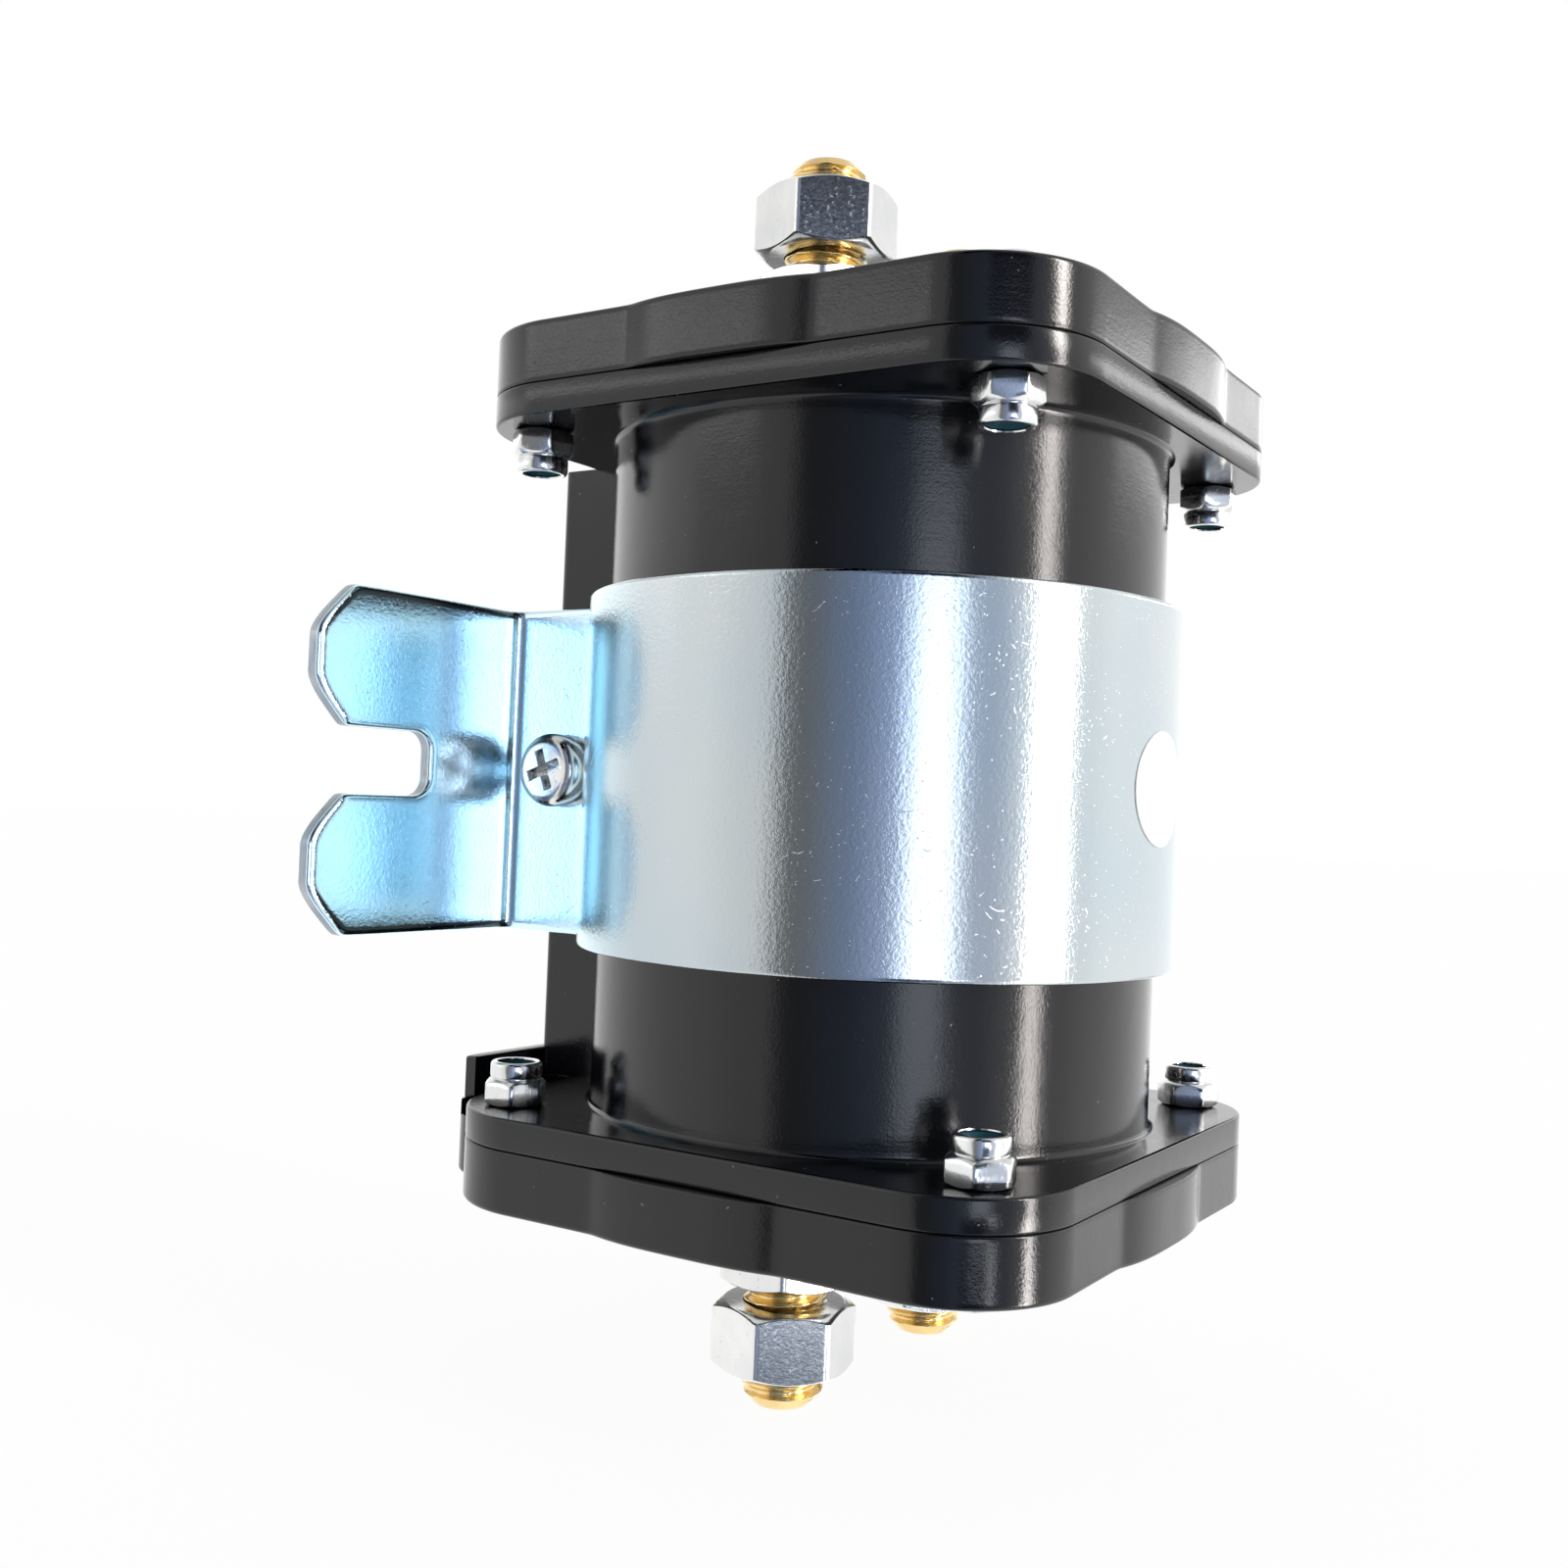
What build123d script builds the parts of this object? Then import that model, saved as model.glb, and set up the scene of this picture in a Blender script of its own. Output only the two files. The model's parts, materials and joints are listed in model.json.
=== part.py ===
from build123d import *
import os
from math import sqrt

os.makedirs("parts", exist_ok=True)

# Power solenoid with two contact studs at each end, in a strap bracket.
# Z runs along the barrel, the mounting face is the plane Y = 0 and the barrel stands in front of it.
# All sizes in millimetres.

# Overall
axis_setback = 41.5          # barrel axis in front of the mounting face
body_height = 71.7           # housing between its two covers
cover_thick = 5.9

# Clearances
slip_gap = 0.2               # nested round pieces, on the radius
seat_gap = 0.1               # end play in the stack
running_gap = 0.4            # round the plunger
thread_gap = 0.05            # threaded pieces, on the radius

# Housing
barrel_radius = 28.0
barrel_wall = 3.2
flange_side = 63.0
flange_corner = 11.0
flange_thick = 3.0
neck_fillet = 1.2            # barrel into flange
rib_width = 18.0
rib_reach = 36.0             # from the barrel axis
rib_edge = 1.0
lead_channel_width = 13.0
lead_channel_top = -9.0
lead_channel_skin = 2.0

# Covers
bulge_radius = 32.5          # round swell at the middle of each side
skirt_wall = 1.8
skirt_depth = 8.2            # into the barrel, less the end play
pocket_depth = 3.2
cover_edge = 0.5
shelf_half_width = 21.8      # coil terminal shelf on the lower cover
guard_thick = 1.7
shelf_corner = 5.0
shelf_rise = 1.5             # above the parting, behind the rib
guard_half_width = 18.7
guard_rise = 5.6
guard_gap = 0.3

# Cover screws and lock nuts
screw_pitch = 50.0
screw_radius = 1.5
screw_head_radius = 2.8
screw_head_thick = 2.0
counterbore_depth = 1.0
screw_end_above_nut_face = 0.9
lock_nut_flats = 5.5
lock_nut_hex = 2.5
lock_nut_thick = 4.2
lock_collar_radius = 2.5
lock_collar_wall = 0.3

nut_face_share = 0.97        # chamfered face of a nut, share of its flats
nut_chamfer_slope = 0.58     # 30 degrees
head_round_share = 0.45      # round edge of a screw head, share of its thickness

# Contact studs
stud_pitch = 28.2
stud_radius = 3.9
stud_end_top = 2.8           # past the terminal nut
stud_end_bottom = 3.2
stud_chamfer = 1.3
contact_pad = 12.0
contact_pad_thick = 3.0
contact_pad_corner = 2.0
washer_radius = 8.0
washer_thick = 1.6
nut_flats = 12.0
jam_nut_thick = 4.0
lug_space = 2.0              # bare stud left for a cable lug
nut_thick = 6.2
nut_turn_top = 7.6
nut_turn_bottom = 10.0
jam_nut_turn = 30.0

# Coil terminals
coil_terminal_pitch = 10.0
coil_terminal_inset = 2.0    # from the back wall of the lead channel
coil_stud_radius = 2.0
coil_stud_overrun = 2.3      # past its nut
coil_stud_depth = 5.2
coil_nut_flats = 7.0
coil_nut_thick = 3.2
lead_radius = 0.7
lead_level = -16.0
lead_bend = 2.5
lead_hole_radius = 1.6

# Magnet
core_length = 11.6
yoke_wall = 1.8
plate_thick = 2.5
barrier_thick = 1.5
bobbin_wall = 1.4
bobbin_flange = 2.0
winding_margin = 1.1
plunger_radius = 9.2
plunger_overrun = 0.5        # below the lower pole plate

# Moving contacts
stroke = 2.4
shaft_radius = 2.0
bridge_thick = 2.0
bridge_width = 12.0
bridge_end_margin = 1.0
bush_flange_radius = 6.2
bush_flange_thick = 1.5
bush_spigot_radius = 3.8
bridge_washer_thick = 0.9
clip_thick = 1.2
clip_radius = 4.4
collar_radius = 3.4
collar_thick = 1.2
shaft_overrun = 0.4
spacer_radius = 4.5

# Return spring
spring_radius = 4.6
spring_wire = 0.5
spring_turns = 5
spring_pocket_radius = 5.7
spring_pocket_plunger = 8.0
spring_pocket_core = 4.0

# Strap bracket
strap_height = 34.8
strap_thick = 1.7
strap_gap = 0.3
strap_bend = 1.2             # inner radius of each bend
ear_reach = 39.3             # from the barrel axis, each way
slot_width = 6.6
slot_root = 23.5
slot_corner = 2.0
ear_outer_cut = 5.6
ear_inner_cut = 4.0
ear_corner = 1.2
clamp_inset = 2.9            # clamp screw from the back of the rib
clamp_radius = 2.0
clamp_hole_radius = 2.2
clamp_head_radius = 3.9
clamp_head_thick = 2.8
clamp_recess_width = 1.1
clamp_recess_span = 4.4
clamp_recess_depth = 1.6
clamp_recess_taper = 8.0     # degrees
clamp_turn = 20.0            # of the cross in the head
clamp_nut_flats = 7.0
clamp_nut_thick = 3.2
clamp_overrun = 1.5

# Label
label_radius = 5.4
label_thick = 0.12

# Sizes worked out from the ones above
parting = body_height / 2
cover_face = parting + cover_thick
bore_radius = barrel_radius - barrel_wall
flange_seat = parting - flange_thick
yoke_radius = bore_radius - slip_gap
yoke_bore = yoke_radius - yoke_wall
stack_half = parting - skirt_depth
yoke_half = stack_half - barrier_thick - plate_thick
core_tip = yoke_half - core_length
plunger_foot = -yoke_half - plate_thick - plunger_overrun
skirt_radius = bore_radius - slip_gap
skirt_bore = skirt_radius - skirt_wall
pocket_roof = parting + pocket_depth
contact_face = pocket_roof - contact_pad_thick
bobbin_bore = plunger_radius + running_gap
bobbin_tube = bobbin_bore + bobbin_wall
plunger_top = core_tip - stroke - seat_gap
upper_bridge_face = contact_face - stroke - seat_gap
lower_bridge_face = -contact_face + seat_gap
washer_top = cover_face + washer_thick
jam_nut_top = washer_top + jam_nut_thick
nut_seat = jam_nut_top + lug_space
stud_tip_top = nut_seat + nut_thick + stud_end_top
stud_tip_bottom = nut_seat + nut_thick + stud_end_bottom
strap_inner = barrel_radius + strap_gap
strap_outer = strap_inner + strap_thick
strip_inner = rib_width / 2 + strap_gap
strip_outer = strip_inner + strap_thick
stud_places = [(-stud_pitch / 2, 0), (stud_pitch / 2, 0)]
shelf_reach = rib_reach + guard_gap + guard_thick
shelf_top = shelf_rise - parting
guard_top = guard_rise - parting
clamp_reach = rib_reach - clamp_inset
coil_terminal_reach = rib_reach - lead_channel_skin - coil_terminal_inset
coil_stud_end = -cover_face - coil_nut_thick - coil_stud_overrun
coil_places = [(-coil_terminal_pitch / 2, coil_terminal_reach), (coil_terminal_pitch / 2, coil_terminal_reach)]


def level(height):
    """Plane across the barrel axis at a height, with its origin on the axis."""
    return Plane((0, -axis_setback, height))


def upright():
    """Plane through the barrel axis, X across and Z up."""
    return Plane((0, -axis_setback, 0), x_dir=(1, 0, 0), z_dir=(0, -1, 0))


def barrel_axis():
    return Axis((0, -axis_setback, 0), (0, 0, 1))


def save(builder, name):
    builder.part.label = name
    export_step(builder.part, f"parts/{name}.step")


def ring(builder_plane, outer, inner, height):
    """Plain ring standing on a plane."""
    with BuildPart() as piece:
        with BuildSketch(builder_plane):
            Circle(outer)
            Circle(inner, mode=Mode.SUBTRACT)
        extrude(amount=height)
    return piece.part


def hex_nut(flats, thick, hole):
    """Hexagon nut on the XY plane, its corners chamfered at both faces."""
    corner = flats / sqrt(3)
    face_radius = flats / 2 * nut_face_share
    drop = (corner - face_radius) * nut_chamfer_slope
    with BuildPart() as nut:
        with BuildSketch():
            RegularPolygon(corner, 6)
            Circle(hole, mode=Mode.SUBTRACT)
        extrude(amount=thick)
        with BuildSketch(Plane.XZ):
            with BuildLine():
                Polyline(
                    (0, 0),
                    (face_radius, 0),
                    (corner, drop),
                    (corner, thick - drop),
                    (face_radius, thick),
                    (0, thick),
                    close=True,
                )
            make_face()
        revolve(axis=Axis.Z, mode=Mode.INTERSECT)
    return nut.part


def lock_nut():
    """Lock nut with a crimped collar that holds a nylon ring, its seat on the XY plane."""
    ring_pocket = lock_collar_radius - lock_collar_wall
    lip = lock_collar_wall
    crimp = lock_collar_wall / 2
    hole = screw_radius + thread_gap
    with BuildPart() as nut:
        add(hex_nut(lock_nut_flats, lock_nut_hex, hole))
        with BuildSketch(Plane.XZ):
            with BuildLine():
                Polyline(
                    (hole, lock_nut_hex),
                    (lock_collar_radius, lock_nut_hex),
                    (lock_collar_radius - crimp, lock_nut_hex + crimp),
                    (lock_collar_radius, lock_nut_hex + 2 * crimp),
                    (lock_collar_radius, lock_nut_thick - lip),
                    (lock_collar_radius - lip, lock_nut_thick),
                    (ring_pocket - lip, lock_nut_thick),
                    (ring_pocket, lock_nut_thick - lip),
                    (ring_pocket, lock_nut_hex + lip),
                    (hole, lock_nut_hex + lip),
                    close=True,
                )
            make_face()
        revolve(axis=Axis.Z)
    return nut.part


def pan_head(radius, thick):
    """Domed screw head on the XY plane."""
    with BuildPart() as head:
        with BuildSketch():
            Circle(radius)
        extrude(amount=thick)
        fillet(head.edges().group_by(Axis.Z)[-1], thick * head_round_share)
    return head.part


def cover_outline(corner):
    """Square with round corners, and a round swell at the middle of each side."""
    RectangleRounded(flange_side, flange_side, corner)
    Circle(bulge_radius)


# Housing: barrel, square flanges and the rib along its back
with BuildPart() as housing:
    with BuildSketch(level(-parting)):
        Circle(barrel_radius)
    extrude(amount=body_height)
    with BuildSketch(level(-parting)):
        with Locations((0, rib_reach / 2)):
            Rectangle(rib_width, rib_reach)
    extrude(amount=parting + flange_seat)
    fillet(housing.edges().filter_by(Axis.Z).group_by(Axis.Y)[-1], rib_edge)
    for height in (-parting, flange_seat):
        with BuildSketch(level(height)):
            RectangleRounded(flange_side, flange_side, flange_corner)
        extrude(amount=flange_thick)
    neck_edges = housing.edges().filter_by(GeomType.CIRCLE).filter_by(
        lambda edge: abs(edge.radius - barrel_radius) < 0.01 and abs(abs(edge.center().Z) - flange_seat) < 0.01
    )
    fillet(neck_edges, neck_fillet)
    with BuildSketch(level(-parting)):
        Circle(bore_radius)
    extrude(amount=body_height, mode=Mode.SUBTRACT)
    with BuildSketch(level(-parting)):
        with Locations((0, (bore_radius + rib_reach - lead_channel_skin) / 2 - 1)):
            Rectangle(lead_channel_width, rib_reach - lead_channel_skin - bore_radius + 2)
    extrude(amount=lead_channel_top + parting, mode=Mode.SUBTRACT)
    with BuildSketch(level(-clamp_hole_radius - strap_gap)):
        with Locations((0, clamp_reach - clamp_hole_radius + rib_reach / 2)):
            Rectangle(2 * rib_width, rib_reach)
    extrude(amount=2 * (clamp_hole_radius + strap_gap), mode=Mode.SUBTRACT)
    for height in (-parting, flange_seat):
        with BuildSketch(level(height)):
            with GridLocations(screw_pitch, screw_pitch, 2, 2):
                Circle(screw_radius + slip_gap)
        extrude(amount=flange_thick, mode=Mode.SUBTRACT)
save(housing, "housing")


# Covers: the lower one also carries the shelf for the coil terminals
def cover(has_shelf):
    """Cover with its face up. The lower cover is turned over after it is made."""
    with BuildPart() as piece:
        with BuildSketch(Plane.XY.offset(parting)):
            cover_outline(flange_corner)
        extrude(amount=cover_thick)
        if has_shelf:
            with BuildSketch(Plane.XY.offset(-shelf_top)):
                with Locations((0, -shelf_reach / 2)):
                    Rectangle(2 * shelf_half_width, shelf_reach)
            extrude(amount=cover_face + shelf_top)
            back_corners = piece.edges().filter_by(Axis.Z).group_by(Axis.Y)[0]
            fillet(back_corners, shelf_corner)
            with BuildSketch(Plane.XY.offset(-guard_top)):
                with Locations((0, -(rib_reach + guard_gap + shelf_reach) / 2)):
                    Rectangle(2 * guard_half_width, shelf_reach - rib_reach - guard_gap)
            extrude(amount=guard_top - shelf_top)
            with BuildSketch(Plane.XY.offset(-shelf_top)):
                with Locations((0, -(rib_reach + guard_gap) / 2)):
                    Rectangle(flange_side, rib_reach + guard_gap)
            extrude(amount=parting + shelf_top, mode=Mode.SUBTRACT)
        top_edges = piece.edges().group_by(Axis.Z)[-1]
        fillet(top_edges, cover_edge)
        with BuildSketch(Plane.XY.offset(stack_half + seat_gap)):
            Circle(skirt_radius)
            Circle(skirt_bore, mode=Mode.SUBTRACT)
        extrude(amount=parting - stack_half - seat_gap)
        with BuildSketch(Plane.XY.offset(parting)):
            Circle(skirt_bore)
        extrude(amount=pocket_depth, mode=Mode.SUBTRACT)
        with BuildSketch(Plane.XY.offset(pocket_roof)):
            with Locations(*stud_places):
                Circle(stud_radius + slip_gap)
        extrude(amount=cover_face - pocket_roof, mode=Mode.SUBTRACT)
        with BuildSketch(Plane.XY.offset(parting)):
            with GridLocations(screw_pitch, screw_pitch, 2, 2):
                Circle(screw_radius + slip_gap)
        extrude(amount=cover_thick, mode=Mode.SUBTRACT)
        with BuildSketch(Plane.XY.offset(cover_face - counterbore_depth)):
            with GridLocations(screw_pitch, screw_pitch, 2, 2):
                Circle(screw_head_radius + slip_gap)
        extrude(amount=counterbore_depth, mode=Mode.SUBTRACT)
        if has_shelf:
            with BuildSketch(Plane.XY.offset(parting)):
                with Locations(*[(x, -y) for x, y in coil_places]):
                    Circle(coil_stud_radius + thread_gap)
            extrude(amount=cover_thick, mode=Mode.SUBTRACT)
    return piece.part


with BuildPart() as top_cover:
    with Locations(level(0)):
        add(cover(False))
save(top_cover, "top_cover")

turned_over = Plane((0, -axis_setback, 0), x_dir=(1, 0, 0), z_dir=(0, 0, -1))
with BuildPart() as bottom_cover:
    with Locations(turned_over):
        add(cover(True))
save(bottom_cover, "bottom_cover")


# Cover screws and lock nuts: the screw heads lie in the covers, the nuts against the flanges
screw_places = [
    (x, y)
    for x in (-screw_pitch / 2, screw_pitch / 2)
    for y in (-screw_pitch / 2, screw_pitch / 2)
]
screw_seat = cover_face - counterbore_depth
screw_end = flange_seat - lock_nut_thick + screw_end_above_nut_face


def cover_screw():
    """Screw with its head at the top, at its place above the middle of the barrel."""
    with BuildPart() as screw:
        with BuildSketch(Plane.XY.offset(screw_end)):
            Circle(screw_radius)
        extrude(amount=screw_seat - screw_end)
        with Locations((0, 0, screw_seat)):
            add(pan_head(screw_head_radius, screw_head_thick))
    return screw.part


def nylon_ring():
    """Ring in the collar of a lock nut."""
    bottom = lock_nut_hex + lock_collar_wall
    with BuildPart() as piece:
        with BuildSketch(Plane.XY.offset(bottom)):
            Circle(lock_collar_radius - lock_collar_wall - thread_gap)
            Circle(screw_radius + thread_gap, mode=Mode.SUBTRACT)
        extrude(amount=lock_nut_thick - bottom - lock_collar_wall)
    return piece.part


ends = {"top": level(0), "bottom": turned_over}
for end, plane in ends.items():
    with BuildPart() as cover_screws:
        with Locations(plane):
            with Locations(*screw_places):
                add(cover_screw())
    save(cover_screws, f"{end}_cover_screws")
    with BuildPart() as lock_nuts:
        with Locations(plane):
            with Locations(*[Location((x, y, flange_seat), (180, 0, 0)) for x, y in screw_places]):
                add(lock_nut())
    save(lock_nuts, f"{end}_lock_nuts")
    with BuildPart() as nylon_rings:
        with Locations(plane):
            with Locations(*[Location((x, y, flange_seat), (180, 0, 0)) for x, y in screw_places]):
                add(nylon_ring())
    save(nylon_rings, f"{end}_nylon_rings")


# Contact studs: a square pad inside the cover, then washer, jam nut and terminal nut outside
def contact_stud(tip):
    """Stud with its contact pad, at its place above the middle of the barrel."""
    with BuildPart() as stud:
        with BuildSketch(Plane.XY.offset(contact_face)):
            RectangleRounded(contact_pad, contact_pad, contact_pad_corner)
        extrude(amount=contact_pad_thick)
        with BuildSketch(Plane.XY.offset(pocket_roof)):
            Circle(stud_radius)
        extrude(amount=tip - pocket_roof)
        chamfer(stud.edges().group_by(Axis.Z)[-1], stud_chamfer)
    return stud.part


tips = {"top": stud_tip_top, "bottom": stud_tip_bottom}
turns = {"top": nut_turn_top, "bottom": nut_turn_bottom}
for end, plane in ends.items():
    for side, place in zip(("left", "right"), stud_places):
        with BuildPart() as stud:
            with Locations(plane):
                with Locations(place):
                    add(contact_stud(tips[end]))
        save(stud, f"{end}_{side}_contact_stud")
    with BuildPart() as washers:
        with Locations(plane):
            with Locations(*stud_places):
                add(ring(Plane.XY.offset(cover_face), washer_radius, stud_radius + slip_gap, washer_thick))
    save(washers, f"{end}_stud_washers")
    with BuildPart() as jam_nuts:
        with Locations(plane):
            with Locations(*[Location((x, y, washer_top), (0, 0, jam_nut_turn)) for x, y in stud_places]):
                add(hex_nut(nut_flats, jam_nut_thick, stud_radius + thread_gap))
    save(jam_nuts, f"{end}_jam_nuts")
    with BuildPart() as terminal_nuts:
        with Locations(plane):
            with Locations(*[Location((x, y, nut_seat), (0, 0, turns[end])) for x, y in stud_places]):
                add(hex_nut(nut_flats, nut_thick, stud_radius + thread_gap))
    save(terminal_nuts, f"{end}_terminal_nuts")


# Coil terminals under the shelf, and the leads that run to them inside the rib
coil_stud_top = coil_stud_depth - cover_face
with BuildPart() as coil_terminals:
    with BuildSketch(level(coil_stud_end)):
        with Locations(*coil_places):
            Circle(coil_stud_radius)
    extrude(amount=coil_stud_top - coil_stud_end)
    chamfer(coil_terminals.edges().group_by(Axis.Z)[0], lead_radius / 2)
save(coil_terminals, "coil_terminals")

with BuildPart() as coil_terminal_nuts:
    with Locations(turned_over):
        with Locations(*[(x, -y, cover_face) for x, y in coil_places]):
            add(hex_nut(coil_nut_flats, coil_nut_thick, coil_stud_radius + thread_gap))
save(coil_terminal_nuts, "coil_terminal_nuts")

lead_start = yoke_bore - winding_margin + seat_gap
with BuildPart() as coil_leads:
    for x, y in coil_places:
        with BuildLine() as route:
            FilletPolyline(
                (x, lead_start - axis_setback, lead_level),
                (x, coil_terminal_reach - axis_setback, lead_level),
                (x, coil_terminal_reach - axis_setback, coil_stud_top),
                radius=lead_bend,
            )
        with BuildSketch(Plane((x, lead_start - axis_setback, lead_level), z_dir=(0, 1, 0))):
            Circle(lead_radius)
        sweep(path=route.wires()[0])
save(coil_leads, "coil_leads")


# Magnet: steel yoke shell, pole plates, core, bobbin, winding and barriers
with BuildPart() as yoke_shell:
    add(ring(level(-yoke_half), yoke_radius, yoke_bore, 2 * yoke_half))
    with BuildSketch(Plane((0, -axis_setback, lead_level), x_dir=(1, 0, 0), z_dir=(0, 1, 0))):
        with Locations(*[(x, 0) for x, y in coil_places]):
            Circle(lead_hole_radius)
    extrude(amount=yoke_radius + slip_gap, mode=Mode.SUBTRACT)
save(yoke_shell, "yoke_shell")

with BuildPart() as fixed_core:
    with BuildSketch(level(yoke_half)):
        Circle(yoke_radius)
    extrude(amount=plate_thick)
    with BuildSketch(level(core_tip)):
        Circle(plunger_radius)
    extrude(amount=yoke_half - core_tip)
    with BuildSketch(level(core_tip)):
        Circle(shaft_radius + running_gap)
    extrude(amount=yoke_half + plate_thick - core_tip, mode=Mode.SUBTRACT)
    with BuildSketch(level(core_tip)):
        Circle(spring_pocket_radius)
    extrude(amount=spring_pocket_core, mode=Mode.SUBTRACT)
save(fixed_core, "fixed_core")

with BuildPart() as lower_pole_plate:
    add(ring(level(-yoke_half - plate_thick), yoke_radius, bobbin_bore, plate_thick))
save(lower_pole_plate, "lower_pole_plate")

barrier_bores = {"upper_barrier": collar_radius + running_gap, "lower_barrier": bobbin_bore}
barrier_levels = {"upper_barrier": yoke_half + plate_thick, "lower_barrier": -stack_half}
for name, bore in barrier_bores.items():
    with BuildPart() as barrier:
        add(ring(level(barrier_levels[name]), yoke_radius, bore, barrier_thick))
    save(barrier, name)

flange_radius = yoke_bore - slip_gap
with BuildPart() as bobbin:
    with BuildSketch(upright()):
        with BuildLine():
            Polyline(
                (bobbin_bore, -yoke_half),
                (flange_radius, -yoke_half),
                (flange_radius, -yoke_half + bobbin_flange),
                (bobbin_tube, -yoke_half + bobbin_flange),
                (bobbin_tube, yoke_half - bobbin_flange),
                (flange_radius, yoke_half - bobbin_flange),
                (flange_radius, yoke_half),
                (bobbin_bore, yoke_half),
                close=True,
            )
        make_face()
    revolve(axis=barrel_axis())
save(bobbin, "bobbin")

winding_half = yoke_half - bobbin_flange
with BuildPart() as winding:
    add(ring(level(-winding_half), yoke_bore - winding_margin, bobbin_tube + thread_gap, 2 * winding_half))
save(winding, "winding")


# Moving group: plunger, shaft and the two contact bridges
with BuildPart() as plunger:
    with BuildSketch(level(plunger_foot)):
        Circle(plunger_radius)
        Circle(shaft_radius + thread_gap, mode=Mode.SUBTRACT)
    extrude(amount=plunger_top - plunger_foot)
    with BuildSketch(level(plunger_top - spring_pocket_plunger)):
        Circle(spring_pocket_radius)
    extrude(amount=spring_pocket_plunger, mode=Mode.SUBTRACT)
    chamfer(plunger.edges().group_by(Axis.Z)[0], lead_radius)
save(plunger, "plunger")

upper_bridge_seat = upper_bridge_face - bridge_thick
lower_bridge_seat = lower_bridge_face + bridge_thick
upper_bush_foot = upper_bridge_seat - bush_flange_thick
lower_bush_top = lower_bridge_seat + bush_flange_thick
upper_clip_seat = upper_bridge_face + bridge_washer_thick
lower_clip_seat = lower_bridge_face - bridge_washer_thick
shaft_top = upper_clip_seat + clip_thick + shaft_overrun
shaft_foot = lower_clip_seat - clip_thick - shaft_overrun

with BuildPart() as shaft:
    with BuildSketch(level(shaft_foot)):
        Circle(shaft_radius)
    extrude(amount=shaft_top - shaft_foot)
    with BuildSketch(level(upper_bush_foot - collar_thick)):
        Circle(collar_radius)
    extrude(amount=collar_thick)
    tip_edges = shaft.edges().group_by(Axis.Z)[0] + shaft.edges().group_by(Axis.Z)[-1]
    chamfer(tip_edges, shaft_overrun / 2)
save(shaft, "plunger_shaft")

with BuildPart() as shaft_spacer:
    add(ring(level(lower_bush_top), spacer_radius, shaft_radius + thread_gap, plunger_foot - lower_bush_top))
save(shaft_spacer, "shaft_spacer")

bridge_half = sqrt((skirt_bore - bridge_end_margin) ** 2 - (bridge_width / 2) ** 2)
spigot_length = bridge_thick - seat_gap
bush_bore = shaft_radius + thread_gap
for name, seat, away in (("upper", upper_bridge_seat, 1), ("lower", lower_bridge_seat, -1)):
    toward = Plane((0, -axis_setback, seat), x_dir=(1, 0, 0), z_dir=(0, 0, away))
    back = Plane((0, -axis_setback, seat), x_dir=(1, 0, 0), z_dir=(0, 0, -away))
    with BuildPart() as bush:
        add(ring(back, bush_flange_radius, bush_bore, bush_flange_thick))
        add(ring(toward, bush_spigot_radius, bush_bore, spigot_length))
    save(bush, f"{name}_bridge_bush")
    with BuildPart() as bridge:
        with BuildSketch(toward):
            RectangleRounded(2 * bridge_half, bridge_width, bridge_width / 4)
            Circle(bush_spigot_radius + thread_gap, mode=Mode.SUBTRACT)
        extrude(amount=bridge_thick)
    save(bridge, f"{name}_contact_bridge")
    with BuildPart() as bridge_washer:
        add(ring(toward.offset(bridge_thick), bush_flange_radius, bush_bore, bridge_washer_thick))
    save(bridge_washer, f"{name}_bridge_washer")
    with BuildPart() as shaft_clip:
        add(ring(toward.offset(bridge_thick + bridge_washer_thick), clip_radius, bush_bore, clip_thick))
    save(shaft_clip, f"{name}_shaft_clip")

# Return spring between the plunger and the fixed core
spring_foot = plunger_top - spring_pocket_plunger + seat_gap
spring_head = core_tip + spring_pocket_core - seat_gap
coil_height = spring_head - spring_foot - 2 * spring_wire
with BuildPart() as return_spring:
    with BuildLine() as spring_line:
        Helix(
            pitch=coil_height / spring_turns,
            height=coil_height,
            radius=spring_radius,
            center=(0, -axis_setback, spring_foot + spring_wire),
        )
    with BuildSketch(Plane(spring_line.line @ 0, z_dir=spring_line.line % 0)):
        Circle(spring_wire)
    sweep(path=spring_line.wires()[0], is_frenet=True)
save(return_spring, "return_spring")


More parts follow.
